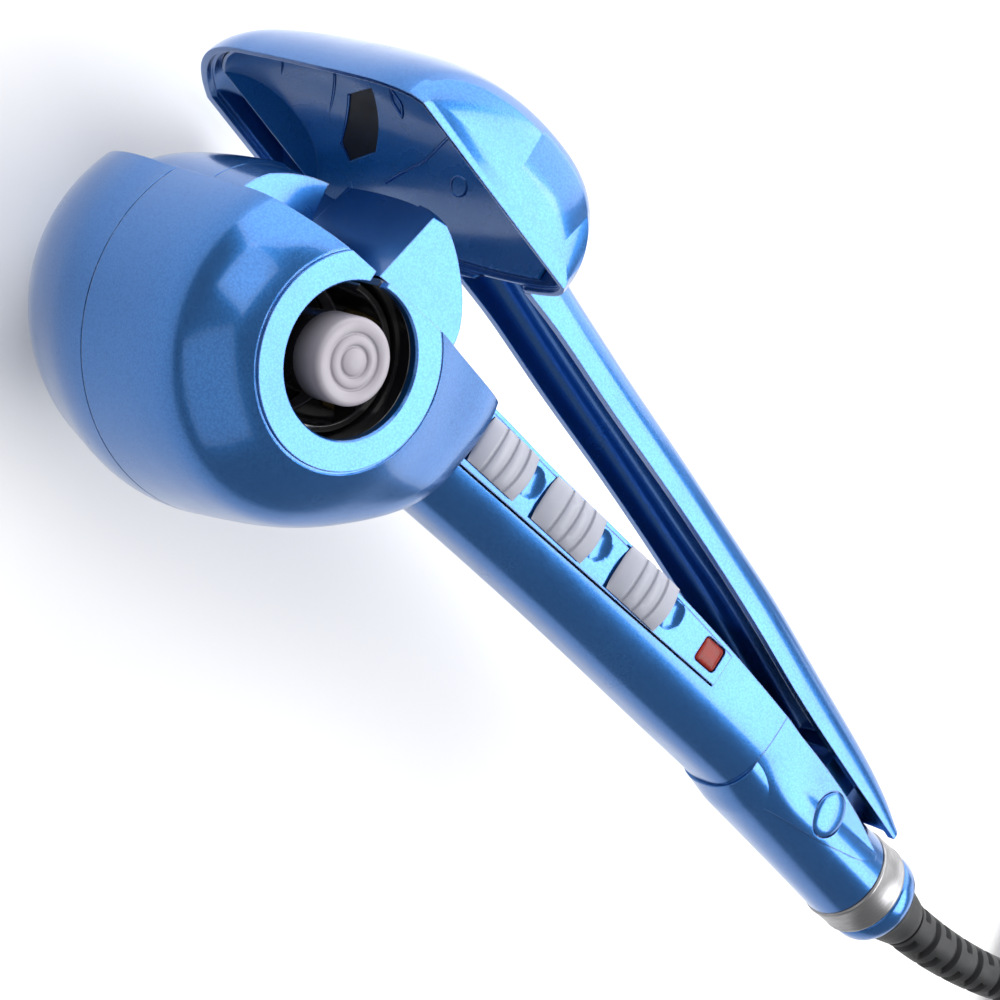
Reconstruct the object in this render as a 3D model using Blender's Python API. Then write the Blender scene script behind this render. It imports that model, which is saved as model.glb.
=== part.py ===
"""Automatic hair curler: a drum head on a lower handle, and an upper lever arm with a domed lid.

Frame: +Z is the drum's axis, out of the curl outlet; +X runs from the head to the cord end;
+Y is the way the upper arm opens. The origin is on the drum's axis, in the flat pole of the
closed dome that the head stands on. The upper arm is modelled closed and opened by its pivot.
"""
import math

import bmesh
import bpy
from mathutils import Matrix, Vector

MM = 0.001
GAP = 0.3 * MM

# ---- driving dimensions, millimetres -------------------------------------------------------
DRUM_HEIGHT = 104.0        # flat pole of the dome to the outlet ring's face
RING_HOLE_R = 16.7         # curl outlet
SEAM_DEPTH = 41.0          # dome cap's seam, below the outlet face
WALL = 2.4
PARTING_Y = 18.0           # where the lid meets the head
SEAM_GAP = 0.35
DOME_LIFT = 4.0            # the dome bulges this far towards the lid, behind the seam
GUIDE_STEP = 3.9           # the hair guides stand this far inside the drum's outer form
DECK_Y = 14.6              # underside of the guides, inside the head
HUMP_DEPTH = 30.0          # front of the left guide's raised part
CHAMBER_R = 17.0
ROTOR_R = 16.6
ROTOR_TEETH = 35
PINION_TEETH = 10
GEAR_MODULE = 1.0
MOTOR_ANGLE = -62.0
LID_WALL = 2.2
LINER_FLOOR = 21.0
LINER_WALL = 1.0
HANDLE_DEPTH = 32.5        # handle's centre, below the outlet face
HANDLE_HALF = 13.6
HINGE_X = 200.0
HINGE_Y = 0.0
OPEN_DEG = 8.7             # how far the upper arm stands open at rest
CORD_R = 3.5
COIL_R = 39.0              # middle of the coil's turns

Z0 = DRUM_HEIGHT           # height of the outlet face

# Drum profile: depth below the outlet face, and radius.
DRUM_PROFILE = [
    (0.0, 23.2), (1.6, 26.8), (5.0, 31.4), (8.5, 34.9), (12.5, 37.2), (20.0, 38.6),
    (30.0, 39.5), (41.0, 40.2), (54.0, 41.0), (66.0, 39.2), (76.0, 34.6), (85.0, 27.8),
    (92.0, 22.0), (97.5, 17.1), (101.5, 12.4), (104.0, 9.0),
]

# Handle stations: distance along X, top edge and underside.
HANDLE_LINE = [
    (36.0, 18.8, -7.6), (52.0, 18.8, -7.8), (76.0, 17.4, -8.0), (105.0, 16.4, -8.6),
    (129.0, 15.0, -9.5), (149.0, 13.3, -10.3), (172.0, 10.6, -11.1), (201.0, 6.6, -13.0),
    (222.0, 2.6, -15.0),
]
# Upper arm stations when closed: distance along X, rim and outer back.
ARM_LINE = [
    (38.5, 19.2, 31.6), (52.0, 19.2, 30.3), (76.0, 17.9, 28.6), (105.0, 16.9, 27.1),
    (129.0, 15.5, 25.6), (149.0, 13.8, 24.4), (172.0, 11.4, 21.8), (200.0, 9.6, 18.4),
    (213.0, 9.0, 15.6), (221.0, 8.6, 12.4),
]
TAIL_Y = -5.4              # centre of the tail tube
TAIL_R = 11.8
TAIL_X = 226.0             # front edge of the metal cuff
CUFF_LENGTH = 9.0
END_RING_LENGTH = 6.5
CONE_LENGTH = 9.5
TAIL_START = 172.0         # handle shell ends and the tail sleeve begins
TONGUE_END = 221.0
PLATE_RISE = 1.5           # side plates stand this far off the sleeve
PLATE_GAP = 0.55
HINGE_PIN_R = 2.2
SPRING_R = 4.2
HANDLE_POWER = 0.72

STRIP_X = (49.0, 147.0)
STRIP_LOW = 4.2
STRIP_EDGE = 1.3
SLIDER_X = (60.5, 85.0, 113.5)
SLIDER_LENGTHS = (16.5, 18.5, 18.5)
SLIDER_WIDTH = 11.6
SLIDER_TRAVEL = 5.0
SLIDER_LINE = (11.2, -0.018)
SLIDE_SLOPE = -1.03
LENS_X = 141.0
LENS_Y = 9.2

RELIEF_X = 252.0
RELIEF_LENGTH = 42.0
RELIEF_BEND = 15.0
COIL_CENTRE = (414.0, 44.0)
CORD_ROUTE = [(318.0, 5.0, 68.0), (334.0, 6.5, 58.0), (350.0, 5.0, 41.0), (364.0, 1.0, 24.0),
              (376.0, -4.0, 11.0), (387.0, -7.0, 3.9)]
COIL_HEIGHT = 20.5
END_ARC_R = 30.0           # the cord's last turn, lying on the coil
END_ARC_DEG = (-60.0, 80.0)
PLUG_HEIGHT = 29.2         # plug's centre, resting on the coil

# Lid, closed: depth below the outlet face, left and right limits, crown's place and height.
LID_ROWS = [
    (0.8, -24.8, 34.4, 10.0, 25.0), (1.6, -25.8, 35.4, 11.0, 33.0),
    (3.0, -26.8, 36.4, 12.0, 37.8), (5.2, -27.8, 37.4, 13.0, 40.2),
    (8.5, -28.8, 38.2, 14.0, 41.6), (14.0, -29.8, 38.9, 14.0, 42.8),
    (22.0, -30.5, 39.4, 14.0, 43.6), (32.0, -31.0, 39.4, 13.0, 43.8),
    (45.0, -31.6, 38.4, 11.0, 43.2), (58.0, -32.0, 36.0, 8.0, 41.7),
    (68.0, -31.9, 33.0, 6.0, 39.3), (77.0, -29.4, 29.4, 4.0, 35.6),
    (85.0, -24.4, 24.1, 2.0, 30.7), (91.0, -18.0, 17.6, 1.0, 26.3),
    (95.0, -12.0, 11.5, 0.0, 22.4),
]


# Right front hair guide: depth, and its crest from the channel round to the deck.
WEDGE_ROWS = [
    (5.6, [(1.2, 36.4), (7.5, 34.6), (12.7, 31.6), (17.3, 27.4), (20.8, 22.7), (22.0, 18.0),
           (21.0, DECK_Y)]),
    (9.0, [(1.8, 38.6), (9.0, 37.0), (15.0, 33.8), (20.4, 29.2), (24.4, 23.6), (26.0, 18.0),
           (25.0, DECK_Y)]),
    (20.0, [(2.6, 40.4), (10.5, 38.9), (17.8, 35.4), (24.2, 30.2), (28.9, 24.0), (31.0, 18.0),
            (30.4, DECK_Y)]),
    (SEAM_DEPTH, [(2.8, 41.0), (11.5, 39.6), (19.5, 36.0), (26.2, 30.6), (31.0, 24.2),
                  (33.4, 18.0), (33.0, DECK_Y)]),
]


def clear_scene():
    for obj in list(bpy.data.objects):
        bpy.data.objects.remove(obj, do_unlink=True)


# ---- small numeric helpers -----------------------------------------------------------------

def ramp(value, low, high):
    """Smooth step from 0 at low to 1 at high."""
    t = min(max((value - low) / (high - low), 0.0), 1.0)
    return t * t * (3.0 - 2.0 * t)


def along(table, x, column):
    """Value of a column of a station table at x, on straight runs between stations."""
    if x <= table[0][0]:
        return table[0][column]
    for left, right in zip(table, table[1:]):
        if x <= right[0]:
            t = (x - left[0]) / (right[0] - left[0])
            return left[column] + (right[column] - left[column]) * t
    return table[-1][column]


def drum_radius(depth):
    return along(DRUM_PROFILE, depth, 1)


# ---- object helpers ------------------------------------------------------------------------

def material(name, colour, roughness=0.3, metallic=0.0):
    mat = bpy.data.materials.new(name)
    mat.use_nodes = True
    shader = mat.node_tree.nodes["Principled BSDF"]
    shader.inputs["Base Color"].default_value = (*colour, 1.0)
    shader.inputs["Roughness"].default_value = roughness
    shader.inputs["Metallic"].default_value = metallic
    return mat


def finish(bm, name, look, cutter=False, smooth=40.0):
    """Turn a bmesh built in millimetres into a linked object in metres."""
    bmesh.ops.scale(bm, vec=(MM, MM, MM), verts=bm.verts)
    bmesh.ops.recalc_face_normals(bm, faces=bm.faces)
    mesh = bpy.data.meshes.new(name)
    bm.to_mesh(mesh)
    bm.free()
    mesh.shade_smooth()
    mesh.set_sharp_from_angle(angle=math.radians(smooth))
    obj = bpy.data.objects.new(name, mesh)
    bpy.context.scene.collection.objects.link(obj)
    if cutter:
        obj.hide_render = True
        obj.display_type = "WIRE"
    else:
        obj.data.materials.append(look)
    return obj


def loft(sections, name, look=None, cutter=False, smooth=40.0):
    """Closed solid through rings of points that all have the same count."""
    bm = bmesh.new()
    rings = [[bm.verts.new(p) for p in ring] for ring in sections]
    count = len(rings[0])
    for low, high in zip(rings, rings[1:]):
        for i in range(count):
            j = (i + 1) % count
            bm.faces.new((low[i], low[j], high[j], high[i]))
    bm.faces.new(rings[0])
    bm.faces.new(rings[-1])
    return finish(bm, name, look, cutter, smooth)


def prism(outline, low, high, name, look=None, cutter=False, axis="Z", smooth=40.0):
    """Outline in the plane across an axis, extruded from low to high along it."""
    def place(u, v, w):
        if axis == "Z":
            return (u, v, w)
        if axis == "Y":
            return (u, w, v)
        return (w, u, v)
    return loft([[place(u, v, w) for u, v in outline] for w in (low, high)],
                name, look, cutter, smooth)


def box(low, high, name, look=None, cutter=False):
    outline = [(low[0], low[1]), (high[0], low[1]), (high[0], high[1]), (low[0], high[1])]
    return prism(outline, low[2], high[2], name, look, cutter)


def turned(profile, name, look=None, cutter=False, steps=48, centre=(0.0, 0.0), bore=False,
           smooth=40.0):
    """Solid turned about a Z axis. The profile is (radius, z); a bored one is a closed loop."""
    bm = bmesh.new()
    rings = []
    for radius, z in profile:
        ring = []
        for i in range(steps):
            a = 2.0 * math.pi * i / steps
            ring.append(bm.verts.new((centre[0] + radius * math.cos(a),
                                      centre[1] + radius * math.sin(a), z)))
        rings.append(ring)
    pairs = list(zip(rings, rings[1:]))
    if bore:
        pairs.append((rings[-1], rings[0]))
    for low, high in pairs:
        for i in range(steps):
            j = (i + 1) % steps
            bm.faces.new((low[i], low[j], high[j], high[i]))
    if not bore:
        bm.faces.new(rings[0])
        bm.faces.new(rings[-1])
    return finish(bm, name, look, cutter, smooth)


def circle(radius, steps, centre=(0.0, 0.0), phase=0.0):
    return [(centre[0] + radius * math.cos(2.0 * math.pi * i / steps + phase),
             centre[1] + radius * math.sin(2.0 * math.pi * i / steps + phase))
            for i in range(steps)]


def rounded(width, height, radius, centre=(0.0, 0.0), steps=4):
    """Rectangle with round corners, as an outline."""
    points = []
    corners = ((1, 1, 0), (-1, 1, 90), (-1, -1, 180), (1, -1, 270))
    for sx, sy, start in corners:
        cx = centre[0] + sx * (width / 2.0 - radius)
        cy = centre[1] + sy * (height / 2.0 - radius)
        for k in range(steps + 1):
            a = math.radians(start + 90.0 * k / steps)
            points.append((cx + radius * math.cos(a), cy + radius * math.sin(a)))
    return points


def boolean(obj, cutter, operation="DIFFERENCE"):
    mod = obj.modifiers.new(operation.title(), "BOOLEAN")
    mod.operation = operation
    mod.solver = "EXACT"
    mod.object = cutter
    return obj


def turn_to(obj, direction, origin):
    """Stand an object built along Z on an origin, pointing in a direction."""
    turn = Vector((0.0, 0.0, 1.0)).rotation_difference(Vector(direction)).to_matrix().to_4x4()
    obj.matrix_world = Matrix.Translation(Vector(origin) * MM) @ turn
    return obj


def empty(name, position):
    obj = bpy.data.objects.new(name, None)
    obj.location = Vector(position) * MM
    bpy.context.scene.collection.objects.link(obj)
    return obj


def set_origin(obj, position):
    """Move an object's origin onto a point given in millimetres, leaving its shape in place."""
    shift = Vector(position) * MM
    obj.data.transform(Matrix.Translation(-shift))
    obj.location = shift
    return obj


# ---- the drum's outer form -----------------------------------------------------------------

def drum_ring(depth, inset=0.0, steps=52):
    """Outline of the drum at a depth: round on the -X side, drawn out to the handle on +X."""
    radius = drum_radius(depth) - inset
    lift = DOME_LIFT * ramp(depth, 41.0, 66.0) * (1.0 - ramp(depth, 76.0, 104.0))
    reach = 12.0 * ramp(depth, 1.0, 12.0) * (1.0 - ramp(depth, 46.0, 70.0))
    points = []
    for i in range(steps):
        a = 2.0 * math.pi * i / steps
        c, s = math.cos(a), math.sin(a)
        x, y = radius * c, radius * s
        if c > 0.0:
            share = ramp(s, -0.9, 0.4)
            power = 2.0 + 0.8 * share * reach / 12.0
            x = (radius + reach * share) * c ** (2.0 / power)
            y = radius * math.copysign(abs(s) ** (2.0 / power), s)
        points.append((x, y + lift))
    return points


def drum_solid(name, depths, inset=0.0, look=None, cutter=False, steps=52):
    sections = []
    for depth in depths:
        ring = drum_ring(depth, inset, steps)
        sections.append([(x, y, Z0 - depth) for x, y in ring])
    return loft(sections, name, look, cutter)


def depths_between(low, high):
    """Profile depths from low to high, with both ends in."""
    inner = [d for d, _ in DRUM_PROFILE if low + 0.8 < d < high - 0.8]
    return [low] + inner + [high]


# ---- the lid's outer form ------------------------------------------------------------------

def lid_ring(row, inset=0.0, floor=None, steps=26):
    """Domed outline over the parting plane at one depth of the lid."""
    depth, left, right, apex, top = row
    left, right, top = left + inset, right - inset, top - inset
    depth += inset * (0.25 * (1.0 - ramp(depth, 4.0, 20.0)) - 0.5 * ramp(depth, 60.0, 90.0))
    base = PARTING_Y + GAP / MM if floor is None else floor
    rise = max(top - base, 0.3)
    points = []
    for i in range(steps + 1):
        a = math.pi * i / steps
        c, s = math.cos(a), math.sin(a)
        half, power = (right - apex, 0.80) if c > 0.0 else (apex - left, 1.0)
        x = apex + math.copysign(half * abs(c) ** power, c)
        points.append((x, base + rise * s ** power, Z0 - depth))
    return points


def lid_solid(name, inset=0.0, floor=None, look=None, cutter=False, first=0, last=0):
    rows = LID_ROWS[first:len(LID_ROWS) - last]
    sections = [lid_ring(row, inset, floor) for row in rows]
    return loft(sections, name, look, cutter, smooth=50.0)


def lid_guard(name, inset, top, last):
    """Everything over the parting plane that the closed lid leaves no room for."""
    guard = box((-70.0, PARTING_Y - 0.1, -20.0), (80.0, 80.0, top), name, cutter=True)
    form = lid_solid(name + "_form", inset, floor=PARTING_Y - 4.0, cutter=True,
                     last=last)
    return boolean(guard, form)


# ---- head ----------------------------------------------------------------------------------

def make_head(looks):
    """Drum shells, the hair guides on them and the two halves' common channel."""
    low, high = -5.0, Z0 + 5.0
    outline = [(-7.0, 10.0), (-2.6, 10.0), (-2.6, 19.0), (3.0, 41.5), (3.0, 60.0), (-14.0, 60.0),
               (-14.0, 38.0), (-7.0, 19.0)]
    channel = prism(outline, low, high, "cut_channel", cutter=True)
    above = box((-80.0, PARTING_Y, -10.0), (90.0, 90.0, Z0 + 10.0), "cut_above", cutter=True)

    front = drum_solid("lower_head_shell", depths_between(0.0, SEAM_DEPTH), look=looks["blue"])
    hollow = [WALL, 5.0, 8.5, 12.5, 20.0, 30.0, SEAM_DEPTH + 3.0]
    boolean(front, drum_solid("cut_front_inside", hollow, WALL, cutter=True))
    outlet = turned([(RING_HOLE_R, Z0 - 9.0), (RING_HOLE_R, Z0 + 2.0)], "cut_outlet", cutter=True)
    boolean(front, outlet)
    boolean(front, above)
    boolean(front, channel)
    neck = box((30.0, -4.0, Z0 - HANDLE_DEPTH - 6.0), (70.0, 10.0, Z0 - HANDLE_DEPTH + 6.0),
               "cut_neck", cutter=True)
    boolean(front, neck)

    cap = drum_solid("head_end_cap", depths_between(SEAM_DEPTH + SEAM_GAP, DRUM_HEIGHT),
                     look=looks["blue_cap"])
    inner = [SEAM_DEPTH - 3.0, 54.0, 66.0, 76.0, 85.0, 92.0, 97.5, DRUM_HEIGHT - WALL]
    boolean(cap, drum_solid("cut_cap_inside", inner, WALL, cutter=True))
    boolean(cap, above)
    boolean(cap, channel)

    form = drum_solid("cut_guide_form", depths_between(2.8, 97.0), GUIDE_STEP, cutter=True)
    bore = turned([(CHAMBER_R + 2.3, Z0 - 60.0), (CHAMBER_R + 2.3, Z0 + 5.0)], "cut_chamber",
                  cutter=True)
    notch = box((-70.0, PARTING_Y, Z0 - HUMP_DEPTH), (-1.0, 60.0, Z0 + 5.0), "cut_notch",
                cutter=True)
    guards = [lid_guard("cut_guard_shell", LID_WALL + 0.5, Z0 + 5.0, 1),
              lid_guard("cut_guard_liner", LID_WALL + GAP / MM + LINER_WALL + 0.5, Z0 - 13.2,
                        2)]
    left = [(-60.0, DECK_Y), (-7.3, DECK_Y), (-7.3, 19.0), (-14.3, 38.0), (-14.3, 60.0),
            (-60.0, 60.0)]
    right = [(-2.3, DECK_Y), (60.0, DECK_Y), (60.0, 60.0), (3.3, 60.0), (3.3, 41.5), (-2.3, 19.0)]
    rear_top, rear_bottom = Z0 - SEAM_DEPTH - SEAM_GAP, Z0 - 99.0
    blocks = [prism(left, Z0 - SEAM_DEPTH, Z0 - 1.0, "hair_guide_left_front", looks["blue"]),
              prism(left, rear_bottom, rear_top, "hair_guide_left_rear", looks["blue"]),
              prism(right, rear_bottom, rear_top, "hair_guide_right_rear", looks["blue"])]
    for block in blocks:
        boolean(block, form, "INTERSECT")
        boolean(block, bore)
        for guard in guards:
            boolean(block, guard)
    boolean(blocks[0], notch)
    sections = []
    for depth, crest in WEDGE_ROWS:
        outline = [(-2.3, DECK_Y), (-2.3, 19.0)] + crest
        sections.append([(x, y, Z0 - depth) for x, y in outline])
    wedge = loft(sections, "hair_guide_right_front", looks["blue"], smooth=30.0)
    boolean(wedge, bore)
    for guard in guards:
        boolean(wedge, guard)


def gear(name, teeth, module, low, high, bore, look, centre=(0.0, 0.0), phase=0.0):
    """Spur gear with a round bore; slack flanks leave running clearance."""
    pitch = teeth * module / 2.0
    outline = []
    for k in range(teeth):
        middle = 2.0 * math.pi * k / teeth + phase
        pitch_angle = 2.0 * math.pi / teeth
        for share, radius in ((-0.30, -1.15), (-0.13, 0.8), (0.13, 0.8), (0.30, -1.15)):
            a = middle + share * pitch_angle
            r = pitch + radius * module
            outline.append((centre[0] + r * math.cos(a), centre[1] + r * math.sin(a)))
    obj = prism(outline, low, high, name, look, smooth=30.0)
    if bore > 0.0:
        hole = turned([(bore, low - 2.0), (bore, high + 2.0)], "cut_" + name, cutter=True,
                      centre=centre, steps=32)
        boolean(obj, hole)
    return obj


def make_winder(looks):
    """Chamber, heated core, rotor with its gear, and the motor that turns it."""
    slot = prism([(-7.0, 5.0), (-2.6, 5.0), (-2.6, 40.0), (-7.0, 40.0)], 0.0, Z0 + 5.0,
                 "cut_slot", cutter=True)
    liner = turned([(CHAMBER_R, Z0 - 33.0), (CHAMBER_R + 1.6, Z0 - 33.0),
                    (CHAMBER_R + 1.6, Z0 - 2.8), (CHAMBER_R, Z0 - 2.8)], "chamber_liner",
                   looks["black_gloss"], bore=True, steps=44)
    boolean(liner, slot)

    turned([(9.0, Z0 - 58.0), (9.0, Z0 - 8.3)], "heater_barrel", looks["ceramic"], steps=40)
    cap_profile = [(9.3, Z0 - 8.0), (9.5, Z0 - 7.6), (9.5, Z0 + 0.2), (9.1, Z0 + 1.1),
                   (6.4, Z0 + 1.1), (6.2, Z0 + 0.7), (5.7, Z0 + 0.7), (5.5, Z0 + 1.1),
                   (3.7, Z0 + 1.1), (3.5, Z0 + 0.7), (3.0, Z0 + 0.7), (2.8, Z0 + 1.1)]
    turned(cap_profile, "core_cap", looks["grey_cap"], steps=28)
    turned([(13.5, Z0 - 61.5), (13.5, Z0 - 58.3)], "heater_mount", looks["ceramic"], steps=32)

    rotor = turned([(10.8, Z0 - 33.2), (ROTOR_R, Z0 - 33.2), (ROTOR_R, Z0 - 9.0),
                    (ROTOR_R - 1.7, Z0 - 9.0), (ROTOR_R - 1.7, Z0 - 31.0), (10.8, Z0 - 31.0)],
                   "winding_rotor", looks["black_gloss"], bore=True, steps=44)
    boolean(rotor, slot)
    hook = prism([(11.6, -2.6), (ROTOR_R - 1.2, -3.4), (ROTOR_R - 1.2, 3.0), (13.4, 3.4)],
                 Z0 - 20.0, Z0 - 12.0, "cut_hook", cutter=True)
    boolean(rotor, hook, "UNION")
    gear("rotor_gear", ROTOR_TEETH, GEAR_MODULE, Z0 - 38.4, Z0 - 33.6, 10.8, looks["nylon"])
    bush = turned([(9.3, Z0 - 42.4), (10.5, Z0 - 42.4), (10.5, Z0 - 31.4), (9.3, Z0 - 31.4)],
                  "rotor_bush", looks["brass"], bore=True, steps=32)

    plate = turned([(9.3, Z0 - 45.2), (29.0, Z0 - 45.2), (29.0, Z0 - 42.8), (9.3, Z0 - 42.8)],
                   "gear_plate", looks["steel"], bore=True, steps=40)
    distance = (ROTOR_TEETH + PINION_TEETH) * GEAR_MODULE / 2.0
    angle = math.radians(MOTOR_ANGLE)
    spot = (distance * math.cos(angle), distance * math.sin(angle))
    shaft_hole = turned([(2.2, Z0 - 47.0), (2.2, Z0 - 40.0)], "cut_shaft_hole", cutter=True,
                        centre=spot, steps=16)
    boolean(plate, shaft_hole)
    tops = box((-40.0, DECK_Y - 0.6, Z0 - 60.0), (60.0, 60.0, Z0 - 40.0), "cut_plate_top",
               cutter=True)
    boolean(plate, tops)

    # A tooth of the pinion meets a gap of the rotor's gear on the line of centres.
    step = 2.0 * math.pi / ROTOR_TEETH
    nearest = round(angle / step) * step
    offset = (angle - nearest) / step
    phase = angle + math.pi + (0.5 - offset) * 2.0 * math.pi / PINION_TEETH
    pinion = gear("motor_pinion", PINION_TEETH, GEAR_MODULE, Z0 - 38.4, Z0 - 33.6, 0.0,
                  looks["brass"], spot, phase)
    shaft = turned([(1.9, Z0 - 46.6), (1.9, Z0 - 38.0)], "cut_shaft", cutter=True, centre=spot,
                   steps=12)
    boolean(pinion, shaft, "UNION")
    set_origin(pinion, (spot[0], spot[1], Z0 - 36.0))
    turned([(3.0, Z0 - 65.5), (8.0, Z0 - 65.5), (8.6, Z0 - 64.9), (8.6, Z0 - 47.5),
            (8.0, Z0 - 46.9), (3.0, Z0 - 46.9)], "drive_motor", looks["steel"],
           centre=spot, steps=24)


# ---- lower handle --------------------------------------------------------------------------

def handle_section(x, inset=0.0, steps=18, low_angle=0.0, high_angle=180.0):
    """Outer outline of the lower handle at a station, from the near edge round the underside."""
    top = along(HANDLE_LINE, x, 1)
    bottom = along(HANDLE_LINE, x, 2) + inset
    half = HANDLE_HALF - inset
    points = []
    for i in range(steps + 1):
        a = math.radians(low_angle + (high_angle - low_angle) * i / steps)
        c, s = math.cos(a), math.sin(a)
        z = math.copysign(half * abs(c) ** HANDLE_POWER, c)
        y = top - (top - bottom) * abs(s) ** HANDLE_POWER
        points.append((x, y, Z0 - HANDLE_DEPTH + z))
    return points


def stations(low, high, step):
    count = max(1, round((high - low) / step))
    return [low + (high - low) * i / count for i in range(count + 1)]


def make_handle(looks):
    """Lower handle shell, its top cover, and the controls on its near cheek."""
    sections = []
    for x in stations(34.0, TAIL_START, 14.0):
        outer = handle_section(x)
        inner = handle_section(x, WALL * 0.85)
        sections.append(outer + inner[::-1])
    shell = loft(sections, "handle_shell", looks["blue"], smooth=50.0)
    clearance = drum_solid("cut_drum_clear", depths_between(0.0, 100.0), -GAP / MM, cutter=True)
    boolean(shell, clearance)

    cover_sections = []
    for x in stations(48.0, TAIL_START - 3.0, 14.0):
        top = along(HANDLE_LINE, x, 1)
        half = HANDLE_HALF - WALL * 0.85 - 0.5
        outline = [(half, top - 3.4), (half, top - 1.4), (half - 2.5, top - 0.8),
                   (2.5 - half, top - 0.8), (-half, top - 1.4), (-half, top - 3.4)]
        cover_sections.append([(x, y, Z0 - HANDLE_DEPTH + z) for z, y in outline])
    cover = loft(cover_sections, "handle_cover", looks["blue_dark"])
    boolean(cover, drum_solid("cut_cover_clear", depths_between(0.0, 100.0), -0.6, cutter=True))

    # Control strip let into the near cheek.
    def strip(name, x_low, x_high, grow, inset, thick, cutter=False, look=None):
        rings = []
        for x in stations(x_low - grow, x_high + grow, 10.0):
            outer = cheek_line(x, STRIP_LOW - grow, STRIP_EDGE - grow, -inset)
            inner = cheek_line(x, STRIP_LOW - grow, STRIP_EDGE - grow, -inset - thick)
            rings.append(outer + inner[::-1])
        return loft(rings, name, look, cutter, smooth=50.0)

    window = strip("cut_window", STRIP_X[0], STRIP_X[1], GAP / MM, -3.0, 9.0, cutter=True)
    boolean(shell, window)
    bezel = strip("control_bezel", STRIP_X[0], STRIP_X[1], 0.0, -0.25, 1.5, look=looks["blue"])
    cheek_z = Z0 - HANDLE_DEPTH + HANDLE_HALF
    for index, x in enumerate(SLIDER_X):
        start = Vector((x, slider_y(x), 0.0))
        half = SLIDER_LENGTHS[index] / 2.0
        slot = box((1.5 - half, -3.0, -6.0), (half - 1.5 + SLIDER_TRAVEL, 3.0, 6.0),
                   f"cut_slot_{index + 1}", cutter=True)
        slot.matrix_world = (Matrix.Translation(Vector((start.x, start.y, cheek_z)) * MM)
                             @ Matrix.Rotation(math.radians(SLIDE_SLOPE), 4, "Z"))
        boolean(bezel, slot)
        make_slider(index, x, cheek_z, looks)
    lens_hole = prism(rounded(7.6, 6.6, 0.8, (LENS_X, LENS_Y)), cheek_z - 6.0, cheek_z + 6.0,
                      "cut_lens", cutter=True)
    boolean(bezel, lens_hole)
    prism(rounded(7.0, 6.0, 0.6, (LENS_X, LENS_Y)), cheek_z - 2.2, cheek_z + 0.5,
          "indicator_lens", looks["red"])

    board_z = cheek_z - 9.0
    box((58.0, -1.0, board_z - 1.6), (150.0, 8.6, board_z), "circuit_board", looks["board"])
    for index, x in enumerate(SLIDER_X):
        y = slider_y(x)
        box((x - 6.0, y - 3.4, board_z + 0.3), (x + 9.0, y + 0.8, board_z + 3.6),
            f"slide_switch_{index + 1}", looks["black"])
    box((LENS_X - 1.5, 7.0, board_z + 0.3), (LENS_X + 1.5, 10.0, board_z + 4.6),
        "indicator_led", looks["red"])


def cheek_line(x, low, edge, push, steps=5):
    """Points on the near cheek at a station, from the lower line up to the top edge."""
    top = along(HANDLE_LINE, x, 1)
    bottom = along(HANDLE_LINE, x, 2)
    points = []
    for i in range(steps + 1):
        y = low + (top - edge - low) * i / steps
        share = min(max((top - y) / (top - bottom), 0.0), 1.0)
        s = share ** (1.0 / HANDLE_POWER)
        c = math.sqrt(max(1.0 - s * s, 0.0))
        z = HANDLE_HALF * c ** HANDLE_POWER
        points.append((x, y, Z0 - HANDLE_DEPTH + z + push + 0.5))
    return points


def slider_y(x):
    return SLIDER_LINE[0] + SLIDER_LINE[1] * (x - 60.0)


def make_slider(index, x, cheek_z, looks):
    """Slide switch button: a saddle with three finger grooves and a stem through its slot."""
    half = SLIDER_LENGTHS[index] / 2.0
    xs = [-half, -half + 0.8]
    heights = [1.7, 2.4]
    for k in range(3):
        middle = (k - 1) * 4.0
        xs += [middle - 1.5, middle - 0.9, middle + 0.9, middle + 1.5]
        heights += [2.9, 2.1, 2.1, 2.9]
    xs += [half - 0.8, half]
    heights += [2.4, 1.7]
    sections = []
    for u, h in zip(xs, heights):
        ring = [(u, -SLIDER_WIDTH / 2.0, 0.75)]
        for v in (-1.0, -0.92, -0.6, -0.2, 0.2, 0.6, 0.92, 1.0):
            crown = h - 1.1 * v * v
            ring.append((u, v * SLIDER_WIDTH / 2.0, max(crown, 1.1)))
        ring.append((u, SLIDER_WIDTH / 2.0, 0.75))
        sections.append(ring)
    button = loft(sections, f"slider_{index + 1}", looks["grey"], smooth=30.0)
    stem = box((-2.2, -1.5, -4.6), (2.2, 1.5, 1.2), f"cut_stem_{index + 1}", cutter=True)
    place = (Matrix.Translation(Vector((x, slider_y(x), cheek_z)) * MM)
             @ Matrix.Rotation(math.radians(SLIDE_SLOPE), 4, "Z"))
    button.matrix_world = place
    stem.matrix_world = place
    boolean(button, stem, "UNION")
    return button


# ---- tail ----------------------------------------------------------------------------------

def tail_section(x, inset=0.0, steps=32):
    """Outline of the tail sleeve: oval at the handle, round at the cuff."""
    t = ramp(x, TAIL_START, TAIL_X - 6.0)
    top = along([(TAIL_START, 8.6), (TAIL_X, TAIL_Y + TAIL_R)], x, 1) - inset
    bottom = along([(TAIL_START, -11.7), (180.0, -13.4), (TAIL_X, TAIL_Y - TAIL_R)], x, 1) + inset
    half = HANDLE_HALF - 1.2 + (TAIL_R - HANDLE_HALF + 1.2) * t - inset
    power = 0.86 + 0.14 * t
    centre = (top + bottom) / 2.0
    points = []
    for i in range(steps):
        a = 2.0 * math.pi * i / steps
        c, s = math.cos(a), math.sin(a)
        z = math.copysign(half * abs(c) ** power, c)
        y = centre + math.copysign((top - bottom) / 2.0 * abs(s) ** power, s)
        points.append((x, y, Z0 - HANDLE_DEPTH + z))
    return points


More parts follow.
